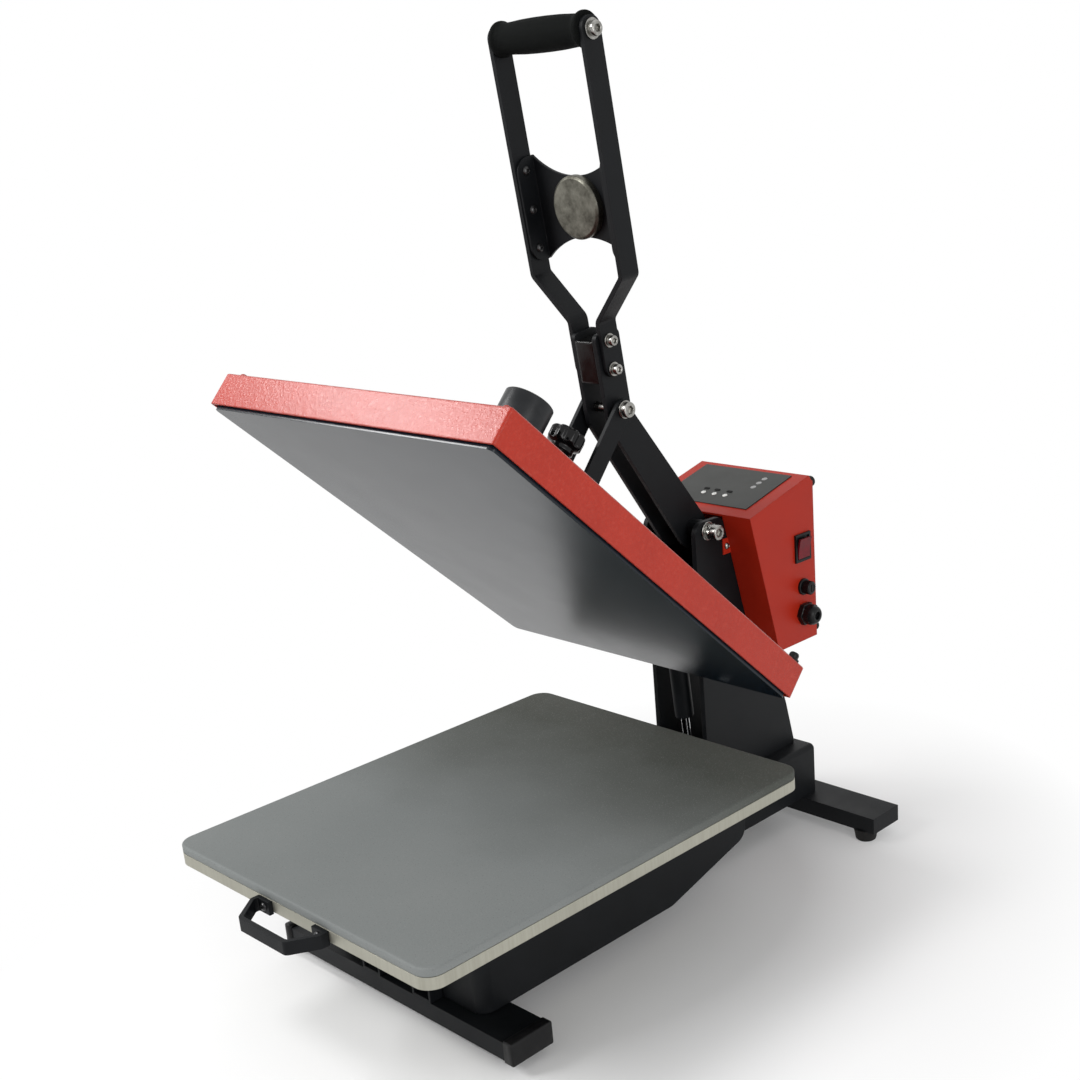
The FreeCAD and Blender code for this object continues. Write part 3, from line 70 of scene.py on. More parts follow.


# Studio: a white table that runs out into a white room, one large soft lamp at the upper
# left in front of the machine, a weaker one from the right, and a small strip lamp at the front left aimed at the
# cover's front.


class Finish:
    """One surface finish: its shader, and the patterns that vary it over the piece."""

    def __init__(self, name, metal=0.0, coat=0.0, gloss=0.5, ior=1.5):
        self.material = bpy.data.materials.new(name)
        self.material.use_nodes = True
        self.tree = self.material.node_tree
        self.shader = self.tree.nodes["Principled BSDF"]
        self.shader.inputs["Metallic"].default_value = metal
        self.shader.inputs["Coat Weight"].default_value = coat
        self.shader.inputs["Coat Roughness"].default_value = 0.2
        self.shader.inputs["Specular IOR Level"].default_value = gloss
        self.shader.inputs["IOR"].default_value = ior
        self.space = self.add("ShaderNodeTexCoord").outputs["Object"]

    def add(self, kind, **settings):
        node = self.tree.nodes.new(kind)
        for key, value in settings.items():
            setattr(node, key, value)
        return node

    def feed(self, socket, value):
        if isinstance(value, bpy.types.NodeSocket):
            self.tree.links.new(value, socket)
        else:
            socket.default_value = value

    def placed(self, stretch=(1, 1, 1), at=(0, 0, 0), turn=(0, 0, 0)):
        """The piece's own coordinates, moved, turned or stretched."""
        mapping = self.add("ShaderNodeMapping")
        self.feed(mapping.inputs["Vector"], self.space)
        mapping.inputs["Location"].default_value = at
        mapping.inputs["Rotation"].default_value = turn
        mapping.inputs["Scale"].default_value = stretch
        return mapping.outputs["Vector"]

    def cloud(self, scale, detail=2.0, stretch=(1, 1, 1), rough=0.5):
        """Soft noise; scale is blots per metre."""
        noise = self.add("ShaderNodeTexNoise")
        self.feed(noise.inputs["Vector"], self.placed(stretch))
        noise.inputs["Scale"].default_value = scale
        noise.inputs["Detail"].default_value = detail
        noise.inputs["Roughness"].default_value = rough
        return noise.outputs["Fac"]

    def span(self, value, low, high, to_low=0.0, to_high=1.0):
        """Moves a value from one range to another."""
        node = self.add("ShaderNodeMapRange")
        self.feed(node.inputs["Value"], value)
        for name, number in zip(("From Min", "From Max", "To Min", "To Max"), (low, high, to_low, to_high)):
            node.inputs[name].default_value = number
        return node.outputs["Result"]

    def sum(self, kind, first, second):
        node = self.add("ShaderNodeMath", operation=kind)
        self.feed(node.inputs[0], first)
        self.feed(node.inputs[1], second)
        return node.outputs["Value"]

    def tint(self, factor, first, second):
        """Goes from one colour to another with a factor."""
        node = self.add("ShaderNodeMix", data_type="RGBA")
        self.feed(node.inputs["Factor"], factor)
        for socket, colour in ((node.inputs["A"], first), (node.inputs["B"], second)):
            self.feed(socket, colour if isinstance(colour, bpy.types.NodeSocket) else (*colour, 1))
        return node.outputs["Result"]

    def edges(self, radius):
        """One along sharp edges and nothing on flat faces; it also keeps the rounded direction."""
        bevel = self.add("ShaderNodeBevel", samples=4)
        bevel.inputs["Radius"].default_value = radius
        self.rounded = bevel.outputs["Normal"]
        flat = self.add("ShaderNodeNewGeometry").outputs["Normal"]
        dot = self.add("ShaderNodeVectorMath", operation="DOT_PRODUCT")
        self.feed(dot.inputs[0], self.rounded)
        self.feed(dot.inputs[1], flat)
        return self.span(dot.outputs["Value"], 0.995, 0.93)

    def wear(self, edge, amount, scale=90):
        """Edges rubbed through in places."""
        rubbed = self.span(self.cloud(scale, 4), 0.55, 0.75)
        return self.sum("MULTIPLY", self.sum("MULTIPLY", edge, rubbed), amount)

    def relief(self, height, depth):
        """Dents and bumps, depth in metres, over the rounded edges."""
        bump = self.add("ShaderNodeBump")
        bump.inputs["Distance"].default_value = depth
        self.feed(bump.inputs["Height"], height)
        if getattr(self, "rounded", None):
            self.feed(bump.inputs["Normal"], self.rounded)
        self.rounded = bump.outputs["Normal"]
        self.feed(self.shader.inputs["Normal"], self.rounded)

    def dress(self, *names):
        """Gives the finish to whole pieces of the frame."""
        for name in names:
            mesh = parts[name].data
            mesh.materials.clear()
            mesh.materials.append(self.material)


def sheet_at(name, size, place, turn=(0, 0, 0)):
    """A flat square of the studio."""
    half = size / 2
    mesh = bpy.data.meshes.new(name)
    mesh.from_pydata([(-half, -half, 0), (half, -half, 0), (half, half, 0), (-half, half, 0)], [], [(0, 1, 2, 3)])
    piece = bpy.data.objects.new(name, mesh)
    piece.location = place
    piece.rotation_euler = turn
    scene.collection.objects.link(piece)
    return piece


table = sheet_at("table", 16, (0, 0, 0))
white_table = Finish("white_table", gloss=0.05)
paper = white_table.span(white_table.cloud(3, 3), 0.3, 0.7)
white_table.feed(white_table.shader.inputs["Base Color"], white_table.tint(paper, (0.90, 0.90, 0.90), (0.93, 0.93, 0.93)))
white_table.shader.inputs["Roughness"].default_value = 0.7
table.data.materials.append(white_table.material)

# Far from the press the table fades into the white of the room, and near it keeps the shadow.

rays = white_table.add("ShaderNodeLightPath").outputs
seen = white_table.sum("MAXIMUM", white_table.sum("MAXIMUM", rays["Is Camera Ray"], rays["Is Glossy Ray"]), rays["Is Transmission Ray"])
inner = white_table.add("ShaderNodeVectorMath", operation="LENGTH")
white_table.feed(inner.inputs[0], white_table.placed((1.0, 0.75, 1.0)))
shown = white_table.sum("MULTIPLY", white_table.span(inner.outputs["Value"], 0.22, 0.54), seen)
mirrored = white_table.sum("MULTIPLY", white_table.span(inner.outputs["Value"], 0.2, 0.4), rays["Is Glossy Ray"])
fade = white_table.sum("MAXIMUM", shown, mirrored)
glow = white_table.add("ShaderNodeEmission")
mixed = white_table.add("ShaderNodeMixShader")
white_table.feed(mixed.inputs["Fac"], fade)
white_table.feed(mixed.inputs[1], white_table.shader.outputs["BSDF"])
white_table.feed(mixed.inputs[2], glow.outputs["Emission"])
white_table.feed(white_table.tree.nodes["Material Output"].inputs["Surface"], mixed.outputs["Shader"])

room = bpy.data.worlds.new("room")
room.use_nodes = True
scene.world = room
tree = room.node_tree
backdrop = tree.nodes["Background"]
backdrop.inputs["Color"].default_value = (1, 1, 1, 1)
rays = tree.nodes.new("ShaderNodeLightPath")
seen = tree.nodes.new("ShaderNodeMath")
seen.operation = "MAXIMUM"
tree.links.new(rays.outputs["Is Camera Ray"], seen.inputs[0])
tree.links.new(rays.outputs["Is Glossy Ray"], seen.inputs[1])
through = tree.nodes.new("ShaderNodeMath")
through.operation = "MAXIMUM"
tree.links.new(seen.outputs[0], through.inputs[0])
tree.links.new(rays.outputs["Is Transmission Ray"], through.inputs[1])
strength = tree.nodes.new("ShaderNodeMapRange")
strength.inputs["To Min"].default_value = 0.48
strength.inputs["To Max"].default_value = 1.0
tree.links.new(through.outputs[0], strength.inputs["Value"])
tree.links.new(strength.outputs["Result"], backdrop.inputs["Strength"])


def soft_lamp(name, size, power, place, target=(0, 0, 0.45)):
    lamp = bpy.data.lights.new(name, "AREA")
    lamp.shape = "SQUARE"
    lamp.size = size
    lamp.energy = power
    holder = bpy.data.objects.new(name, lamp)
    holder.location = place
    holder.rotation_euler = (Vector(target) - Vector(place)).to_track_quat("-Z", "Y").to_euler()
    scene.collection.objects.link(holder)


soft_lamp("key_lamp", 1.2, 74, (-1.5, -2.3, 2.4))
soft_lamp("fill_lamp", 1.8, 36, (2.7, -0.8, 1.05))
soft_lamp("strip_lamp", 0.34, 8, (-1.21, -0.59, 1.58), (0.06, -0.2, 0.59))

scene.view_settings.view_transform = "Standard"

# Base frame, column, arm and levers: welded and bolted steel in satin black powder coat, with
# a fine orange peel and edges that are rubbed a little brighter.

black_coat = Finish("black_coat", ior=1.24)
edge = black_coat.edges(0.0009)
blot = black_coat.cloud(26, 4)
soot = black_coat.tint(black_coat.span(blot, 0.35, 0.7), (0.0032, 0.0038, 0.0046), (0.0054, 0.0062, 0.0074))
bare = black_coat.wear(edge, 0.5)
black_coat.feed(black_coat.shader.inputs["Base Color"], black_coat.tint(bare, soot, (0.07, 0.07, 0.07)))
black_coat.feed(black_coat.shader.inputs["Roughness"], black_coat.span(blot, 0.3, 0.7, 0.42, 0.54))
black_coat.relief(black_coat.cloud(1500, 2), 0.00012)
black_coat.dress("base_beam", "left_rail", "right_rail", "front_crossbar", "rear_crossbar",
                 "left_column_plate", "right_column_plate")

# Rubber feet: four moulded black buttons under the crossbars, tapered and hollow in the
# middle, where their screw sits.


def at(x, y, z, *turns):
    """A place in millimetres, with turns in degrees about the named axes one after the other."""
    place = Matrix.Translation((x, y, z))
    for degrees, axis in turns:
        place = place @ Matrix.Rotation(math.radians(degrees), 4, axis)
    return Matrix.Scale(0.001, 4) @ place


def eased(corners, radius, steps=3):
    """An outline with its inner corners rounded."""
    line = [Vector(corners[0])]
    for before, corner, after in zip(corners, corners[1:], corners[2:]):
        back, on = Vector(before) - Vector(corner), Vector(after) - Vector(corner)
        reach = min(radius, back.length * 0.45, on.length * 0.45)
        start, end = Vector(corner) + back.normalized() * reach, Vector(corner) + on.normalized() * reach
        for step in range(steps + 1):
            t = step / steps
            line.append(start * (1 - t) ** 2 + Vector(corner) * 2 * t * (1 - t) + end * t * t)
    return line + [Vector(corners[-1])]


def turned(outline, sides=36, closed=False):
    """A part turned on a lathe about Z, from (radius, height) or, for flats, (radius, height, flats)."""
    shape = bmesh.new()
    rings = []
    for radius, height, *flats in outline:
        ring = []
        for number in range(sides if radius > 1e-6 else 1):
            angle = math.tau * number / sides
            reach = radius
            if flats:
                half = math.pi / flats[0]
                reach = radius / math.cos((angle + half) % (2 * half) - half)
            ring.append(shape.verts.new((reach * math.cos(angle), reach * math.sin(angle), height)))
        rings.append(ring)
    for low, high in zip(rings, rings[1:] + (rings[:1] if closed else [])):
        for number in range(sides):
            corners = [low[number % len(low)], low[(number + 1) % len(low)],
                       high[(number + 1) % len(high)], high[number % len(high)]]
            corners = list(dict.fromkeys(corners))
            if len(corners) > 2:
                shape.faces.new(corners)
    bmesh.ops.recalc_face_normals(shape, faces=shape.faces)
    return shape


def drawn(name, shape):
    """A plain mesh from a given shape."""
    mesh = bpy.data.meshes.new(name)
    shape.to_mesh(mesh)
    shape.free()
    return mesh


class Recipe:
    """A Geometry Nodes tree with named sizes, which is run once to give a plain mesh."""

    def __init__(self, name, **sizes):
        self.name = name
        self.sizes = sizes
        self.tree = bpy.data.node_groups.new(name, "GeometryNodeTree")
        self.tree.interface.new_socket("Geometry", in_out="INPUT", socket_type="NodeSocketGeometry")
        self.tree.interface.new_socket("Geometry", in_out="OUTPUT", socket_type="NodeSocketGeometry")
        kinds = {"int": "Int", "float": "Float", "Object": "Object", "Material": "Material"}
        self.keys = {key: self.tree.interface.new_socket(
            key, in_out="INPUT", socket_type="NodeSocket" + kinds[type(value).__name__]).identifier
            for key, value in sizes.items()}
        self.given = self.tree.nodes.new("NodeGroupInput").outputs

    def step(self, kind, links, **settings):
        node = self.tree.nodes.new(kind)
        for key, value in settings.items():
            setattr(node, key, value)
        for key, value in links.items():
            if isinstance(value, bpy.types.NodeSocket):
                self.tree.links.new(value, node.inputs[key])
            else:
                node.inputs[key].default_value = value
        return node

    def sum(self, kind, first, second=0.0):
        return self.step("ShaderNodeMath", {0: first, 1: second}, operation=kind).outputs[0]

    def part(self):
        """The small part that is handed to the recipe."""
        return self.step("GeometryNodeObjectInfo", {"Object": self.given["Part"]}).outputs["Geometry"]

    def run(self, result, start):
        whole = self.step("GeometryNodeRealizeInstances", {"Geometry": result})
        painted = self.step("GeometryNodeSetMaterial", {"Geometry": whole.outputs["Geometry"], "Material": self.given["Finish"]})
        self.tree.links.new(painted.outputs["Geometry"], self.tree.nodes.new("NodeGroupOutput").inputs["Geometry"])
        holder = bpy.data.objects.new(self.name, start)
        scene.collection.objects.link(holder)
        modifier = holder.modifiers.new(self.name, "NODES")
        modifier.node_group = self.tree
        for key, value in self.sizes.items():
            modifier[self.keys[key]] = value
        mesh = bpy.data.meshes.new_from_object(holder.evaluated_get(bpy.context.evaluated_depsgraph_get()))
        holder.modifiers.clear()
        for spare in [holder] + [value for value in self.sizes.values() if isinstance(value, bpy.types.Object)]:
            bpy.data.objects.remove(spare)
        return mesh


def loose(name, shape):
    """A small part as an object for a recipe; the recipe clears it away."""
    one = bpy.data.objects.new(name, drawn(name, shape))
    scene.collection.objects.link(one)
    return one


def set_out(name, shape, places, finish, turn=0.0):
    """Copies of one small part in their places, each spun by chance about its own axis."""
    spots = bpy.data.meshes.new(name + "_spots")
    spots.from_pydata([place.translation for place in places], [], [])
    facing = spots.attributes.new("facing", "FLOAT_VECTOR", "POINT")
    for spot, place in zip(facing.data, places):
        spot.vector = place.to_3x3().col[2].normalized()
    recipe = Recipe(name, Part=loose(name + "_one", shape), Size=0.001, Turn=math.radians(turn), Seed=7, Finish=finish.material)
    aim = recipe.step("FunctionNodeAlignRotationToVector", {"Vector": recipe.step(
        "GeometryNodeInputNamedAttribute", {"Name": "facing"}, data_type="FLOAT_VECTOR").outputs["Attribute"]}, axis="Z")
    most = recipe.step("ShaderNodeCombineXYZ", {"Z": recipe.given["Turn"]})
    chance = recipe.step("FunctionNodeRandomValue", {1: most.outputs[0], "Seed": recipe.given["Seed"]}, data_type="FLOAT_VECTOR")
    chance.inputs[0].default_value = (0, 0, 0)
    spun = recipe.step("FunctionNodeRotateRotation", {"Rotation": aim.outputs[0], "Rotate By": chance.outputs[0]}, rotation_space="LOCAL")
    copies = recipe.step("GeometryNodeInstanceOnPoints", {
        "Points": recipe.given["Geometry"], "Instance": recipe.part(), "Rotation": spun.outputs[0], "Scale": recipe.given["Size"]})
    return recipe.run(copies.outputs["Instances"], spots)


def fitted(name, body, slot, nodes, *made, sharp=32):
    """Joins made shapes, each (shape, place, finish), into one piece that moves with its body."""
    whole = bmesh.new()
    mesh = bpy.data.meshes.new(name)
    for number, (shape, place, finish) in enumerate(made):
        one = drawn(name, shape) if isinstance(shape, bmesh.types.BMesh) else shape
        if place is not None:
            one.transform(place)
        before = len(whole.faces)
        whole.from_mesh(one)
        whole.faces.ensure_lookup_table()
        for face in whole.faces[before:]:
            face.material_index = number
        mesh.materials.append(finish.material)
    whole.to_mesh(mesh)
    whole.free()
    mesh.shade_smooth()
    mesh.set_sharp_from_angle(angle=math.radians(sharp))
    piece = bpy.data.objects.new(name, mesh)
    scene.collection.objects.link(piece)
    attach(piece, body)
    if nodes:
        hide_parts(*nodes)
    return piece


foot_rubber = Finish("foot_rubber", ior=1.22)
dust = foot_rubber.span(foot_rubber.cloud(120, 4), 0.4, 0.7)
foot_rubber.feed(foot_rubber.shader.inputs["Base Color"], foot_rubber.tint(dust, (0.012, 0.012, 0.012), (0.024, 0.023, 0.022)))
foot_rubber.feed(foot_rubber.shader.inputs["Roughness"], foot_rubber.span(dust, 0, 1, 0.6, 0.8))
foot_rubber.relief(foot_rubber.cloud(900, 2), 0.00015)
foot = turned([(0, 4), (4, 4), (4, 0.8)] + eased([(4.4, 0), (12.0, 0), (13.4, 9), (14.8, 14.5)], 2.6) + [(0, 14.5)])
feet = set_out("feet", foot, [at(x, y, 0) for x, y in ((-164, -215.1), (142, -215.1), (-171.5, 342.9), (146, 342.9))], foot_rubber)
fitted("rubber_feet_moulded", "base", "foot_rubber", ["rubber_feet"], (feet, None, foot_rubber))

# End caps: moulded black plastic lids pushed over the open ends of the front crossbar, with
# soft corners and a thin wall.

black_plastic = Finish("black_plastic", ior=1.28)
grain = black_plastic.span(black_plastic.cloud(60, 5), 0.35, 0.7)
black_plastic.feed(black_plastic.shader.inputs["Base Color"], black_plastic.tint(grain, (0.0045, 0.0045, 0.005), (0.008, 0.008, 0.0085)))
black_plastic.feed(black_plastic.shader.inputs["Roughness"], black_plastic.span(grain, 0, 1, 0.3, 0.42))
black_plastic.relief(black_plastic.cloud(2200, 2), 0.00006)


def lid(low, high, open_side):
    """A box with soft corners that is open towards one side; open_side is -1 or 1 along X."""
    shape = bmesh.new()
    bmesh.ops.create_cube(shape, size=1)
    for vert in shape.verts:
        vert.co = [low[k] + (high[k] - low[k]) * (vert.co[k] + 0.5) for k in range(3)]
    inside = [face for face in shape.faces if face.normal.x * open_side > 0.9]
    bmesh.ops.delete(shape, geom=inside, context="FACES_ONLY")
    bmesh.ops.bevel(shape, geom=[edge for edge in shape.edges if not edge.is_boundary], offset=2.2, segments=3,
                    profile=0.5, affect="EDGES", clamp_overlap=True)
    return shape


caps = fitted("crossbar_end_caps", "base", "black_plastic", ["crossbar_caps"],
              (lid((-194, -241.1, 12), (-182, -189.5, 36.5), 1), at(0, 0, 0), black_plastic),
              (lid((160, -241.1, 12), (172, -189.5, 36.5), -1), at(0, 0, 0), black_plastic))
wall = caps.modifiers.new("wall", "SOLIDIFY")
wall.thickness = 0.0024
wall.offset = -1

# Drawer slides: folded zinc-plated sheet, a channel on each side of the beam and a runner
# that hangs from the lower plate.

zinc_sheet = Finish("zinc_sheet", metal=0.9)
spangle = zinc_sheet.span(zinc_sheet.cloud(180, 3), 0.3, 0.7)
zinc_sheet.feed(zinc_sheet.shader.inputs["Base Color"], zinc_sheet.tint(spangle, (0.36, 0.37, 0.38), (0.5, 0.5, 0.5)))
zinc_sheet.feed(zinc_sheet.shader.inputs["Roughness"], zinc_sheet.span(spangle, 0, 1, 0.3, 0.5))
zinc_sheet.edges(0.0005)
zinc_sheet.relief(zinc_sheet.cloud(700, 2), 0.00004)
zinc_sheet.dress("left_slide_rail", "right_slide_rail", "left_slide_runner", "right_slide_runner")

# Drawer box under the lower plate: folded steel in the same black coat, screwed to the plate.

black_coat.dress("drawer_box")

# Lower plate: a machined aluminium slab, 400 by 500 mm, whose bare edge shows all round
# under the pad, with the cutter's fine upright lines.

plate_aluminium = Finish("plate_aluminium", metal=0.75)
lines = plate_aluminium.span(plate_aluminium.cloud(420, 3, stretch=(1, 1, 0.04)), 0.3, 0.7)
stain = plate_aluminium.span(plate_aluminium.cloud(14, 3), 0.3, 0.7)
metal_tone = plate_aluminium.tint(lines, (0.35, 0.342, 0.285), (0.43, 0.422, 0.36))
plate_aluminium.feed(plate_aluminium.shader.inputs["Base Color"], plate_aluminium.tint(
    plate_aluminium.sum("MULTIPLY", stain, 0.35), metal_tone, (0.27, 0.262, 0.22)))
plate_aluminium.feed(plate_aluminium.shader.inputs["Roughness"], plate_aluminium.span(lines, 0, 1, 0.42, 0.58))
plate_aluminium.edges(0.0007)
plate_aluminium.relief(lines, 0.00001)
plate_aluminium.dress("lower_plate")

# Silicone pad: a grey slab of silicone foam laid on the lower plate, cut with rounded corners,
# its top edge soft, its skin matt with fine pale specks, and darkened towards the hinge by
# painted shade, where the open platen shades it.


def rounded_frame(half_x, low_y, high_y, radius, inset=0.0, steps=8):
    """The outline of a rectangle with round corners, moved in by inset."""
    line = []
    for turn, (x, y) in enumerate(((half_x, low_y), (half_x, high_y), (-half_x, high_y), (-half_x, low_y))):
        side_x, side_y = (1 if x > 0 else -1), (-1 if y == low_y else 1)
        for step in range(steps + 1):
            angle = math.radians(-90 + 90 * turn + 90 * step / steps)
            line.append((x - side_x * radius + (radius - inset) * math.cos(angle),
                         y - side_y * radius + (radius - inset) * math.sin(angle)))
    return line


def stacked(levels):
    """A solid through a pile of outlines with the same number of points, each (outline, height)."""
    shape = bmesh.new()
    rings = [[shape.verts.new((x, y, height)) for x, y in outline] for outline, height in levels]
    for low, high in zip(rings, rings[1:]):
        for number in range(len(low)):
            after = (number + 1) % len(low)
            shape.faces.new((low[number], low[after], high[after], high[number]))
    shape.faces.new(list(reversed(rings[0])))
    shape.faces.new(rings[-1])
    bmesh.ops.recalc_face_normals(shape, faces=shape.faces)
    return shape


silicone = Finish("silicone", ior=1.1)
shade = silicone.span(silicone.cloud(5, 3), 0.3, 0.7)
speck = silicone.span(silicone.cloud(1100, 1), 0.64, 0.72)
dark_speck = silicone.span(silicone.cloud(700, 2), 0.36, 0.28)
grey = silicone.tint(shade, (0.184, 0.197, 0.194), (0.208, 0.22, 0.216))
# Painted shade: the pad is darkened towards the hinge, where the raised platen shades it; a soft noise waves the edge
# of this painted shade.
apart = silicone.add("ShaderNodeSeparateXYZ")
silicone.feed(apart.inputs[0], silicone.placed())
painted_shade_reach = silicone.sum("ADD", apart.outputs["Y"], silicone.span(silicone.cloud(7, 3), 0.3, 0.7, -0.03, 0.03))
# The dark olive grey of the painted shade.
grey = silicone.tint(silicone.span(painted_shade_reach, -0.17, 0.08, 0, 0.9), grey, (0.068, 0.072, 0.062))
grey = silicone.tint(silicone.sum("MULTIPLY", speck, 0.5), grey, (0.3, 0.3, 0.29))
silicone.feed(silicone.shader.inputs["Base Color"], silicone.tint(silicone.sum("MULTIPLY", dark_speck, 0.5), grey, (0.08, 0.08, 0.08)))
silicone.feed(silicone.shader.inputs["Roughness"], silicone.span(silicone.cloud(40, 4), 0.3, 0.7, 0.5, 0.6))
silicone.relief(silicone.cloud(1300, 3), 0.00007)
levels = [(1.2, 164.0), (0.3, 164.4), (0, 165.2), (0, 171.0), (0.25, 172.0), (0.8, 172.65), (1.6, 172.95), (2.6, 173.0)]
pad = fitted("silicone_pad_cut", "drawer", "silicone", ["silicone_pad"],
             (stacked([(rounded_frame(200, -342.5, 157.5, 18, inset), height) for inset, height in levels]), at(0, 0, 0), silicone), sharp=60)

# Pull handle: a bent flat bar in black coat under the front edge of the lower plate, with its
# ears turned in and held by two button-head screws.

zinc = Finish("zinc", metal=1.0)
film = zinc.span(zinc.cloud(240, 3), 0.3, 0.7)
zinc.feed(zinc.shader.inputs["Base Color"], zinc.tint(film, (0.22, 0.216, 0.2), (0.4, 0.395, 0.375)))
zinc.feed(zinc.shader.inputs["Roughness"], zinc.span(film, 0, 1, 0.18, 0.32))
zinc.relief(zinc.cloud(1600, 2), 0.00003)

dark_steel = Finish("dark_steel", metal=0.8)
oil = dark_steel.span(dark_steel.cloud(260, 3), 0.3, 0.7)
dark_steel.feed(dark_steel.shader.inputs["Base Color"], dark_steel.tint(oil, (0.03, 0.03, 0.032), (0.06, 0.06, 0.06)))
dark_steel.feed(dark_steel.shader.inputs["Roughness"], dark_steel.span(oil, 0, 1, 0.25, 0.4))
dark_steel.relief(dark_steel.cloud(1600, 2), 0.00003)


def button_head(radius, tall, key):
    """A low domed screw head with a six-sided socket, standing on the ground plane."""
    return turned([(0, -0.5), (radius * 0.6, -0.5), (radius * 0.6, 0)] + eased(
        [(radius, 0), (radius, tall * 0.25), (radius * 0.8, tall * 0.75), (key * 1.25, tall)], tall * 0.35)
        + [(key, tall - 0.15, 6), (key, tall * 0.3, 6), (0, tall * 0.25)])


black_coat.dress("pull_handle")
ear_screws = set_out("ear_screws", button_head(4.1, 2.4, 1.4),
                     [at(x, -347, 156.75, (90, "X")) for x in (-37.6, 48.6)], dark_steel, turn=60)
fitted("pull_handle_button_screws", "drawer", "black_coat", ["pull_handle_screws"], (ear_screws, None, dark_steel))

# Column: two laser-cut plates carry the lever's pivot bolt, the platen's hinge pin and the gas
# spring's lower pin. Bolts and pins are bright zinc-plated steel.


def socket_bolt(radius, tall, key, depth=4.0):
    """The head of a cap screw: a cylinder with an eased rim and a six-sided socket."""
    return turned([(0, 0)] + eased([(radius - 0.3, 0), (radius, 0.3), (radius, tall - 0.9), (radius - 0.9, tall), (key * 1.22, tall)], 0.5, 2)
                  + [(key, tall - 0.3, 6), (key, tall - depth, 6), (0, tall - depth - 0.8)])


def washer(outer, inner, thick):
    rim = 0.35
    return turned([(inner, 0), (outer - rim, 0), (outer, rim), (outer, thick - rim), (outer - rim, thick), (inner, thick)], closed=True)


def hex_nut(flat, inner, tall):
    """flat is half the width across the flats."""
    return turned([(inner, 0), (flat * 1.02, 0), (flat, 0.9, 6), (flat, tall - 0.9, 6), (flat * 1.02, tall), (inner, tall)], closed=True)


def shank(radius, start, end):
    return turned([(0, start), (radius - 0.6, start), (radius, start + 0.6), (radius, end - 0.6), (radius - 0.6, end), (0, end)])


pivot = at(0, 209.5, 395, (90, "Y"))
fitted("lever_pivot_cap_screw", "base", "zinc", ["lever_pivot_bolt"],
       (shank(6, -47, 52), pivot, zinc),
       (hex_nut(7.3, 5.6, 8), pivot @ Matrix.Translation((0, 0, -47)), zinc),
       (washer(10.4, 6.2, 2), pivot @ Matrix.Translation((0, 0, 39)), zinc),
       (hex_nut(7.6, 5.6, 7), pivot @ Matrix.Translation((0, 0, 41)), zinc),
       (socket_bolt(8.4, 8.6, 4.2), pivot @ Matrix.Translation((0, 0, 48.4)), zinc))
zinc.dress("platen_hinge_pin", "spring_lower_pin")

# Control box: a folded sheet steel housing in smooth red coat with a separate back plate. Two
# tabs in front are screwed to the column plates.

red_sheet = Finish("red_sheet", ior=1.28)
edge = red_sheet.edges(0.0012)
blot = red_sheet.span(red_sheet.cloud(18, 4), 0.3, 0.7)
red = red_sheet.tint(blot, (0.35, 0.0165, 0.0055), (0.385, 0.0205, 0.0075))
red_sheet.feed(red_sheet.shader.inputs["Base Color"], red_sheet.tint(red_sheet.wear(edge, 0.35), red, (0.5, 0.2, 0.15)))
red_sheet.feed(red_sheet.shader.inputs["Roughness"], red_sheet.span(blot, 0, 1, 0.36, 0.46))
red_sheet.relief(red_sheet.cloud(900, 2), 0.0001)
red_sheet.dress("control_box", "control_box_back")
tab_screws = set_out("tab_screws", button_head(3.8, 2.4, 1.4), [at(40.5, 238.5, 371, (90, "Y")), at(-40.5, 238.5, 371, (-90, "Y"))], zinc, turn=60)
fitted("box_tab_screws", "base", "zinc", ["box_screws"], (tab_screws, None, zinc))

# Panel on the sloping top: a dark printed film with three domed keys, coloured pale grey as a painted
# highlight, with their plain marks, and three small lamps.

panel_film = Finish("panel_film", ior=1.35)
haze = panel_film.span(panel_film.cloud(30, 4), 0.3, 0.7)
panel_film.feed(panel_film.shader.inputs["Base Color"], panel_film.tint(haze, (0.02, 0.0212, 0.0192), (0.028, 0.0292, 0.0268)))
panel_film.feed(panel_film.shader.inputs["Roughness"], panel_film.span(haze, 0, 1, 0.38, 0.5))
panel_film.edges(0.0004)
panel_film.relief(panel_film.cloud(2600, 1), 0.00003)
panel_film.dress("membrane_panel")
slope = math.degrees(math.atan2(26, 105))


def on_panel(x, along, height):
    return at(0, 233.5, 408, (slope, "X")) @ Matrix.Translation((x, along, height))


# Painted highlight: the keys are coloured pale grey, which stands in for the bright glint on each dome.
key_print = Finish("key_print")
key_print.feed(key_print.shader.inputs["Base Color"], key_print.tint(key_print.span(key_print.cloud(600, 3), 0.3, 0.7), (0.55, 0.56, 0.54), (0.7, 0.7, 0.68)))
key_print.shader.inputs["Roughness"].default_value = 0.35
key_print.relief(key_print.cloud(1800, 2), 0.00004)
for number, x in enumerate((-18.3, -2.3, 13.7), start=1):
    dome = turned([(0, 0)] + eased([(2.9, 0), (3, 0.7), (1.8, 1.22), (0, 1.3)], 0.7))
    fitted("key_dome_%d" % number, "button_%d" % number, "key", ["button_%d" % number], (dome, on_panel(x, 38, 0.9), key_print))

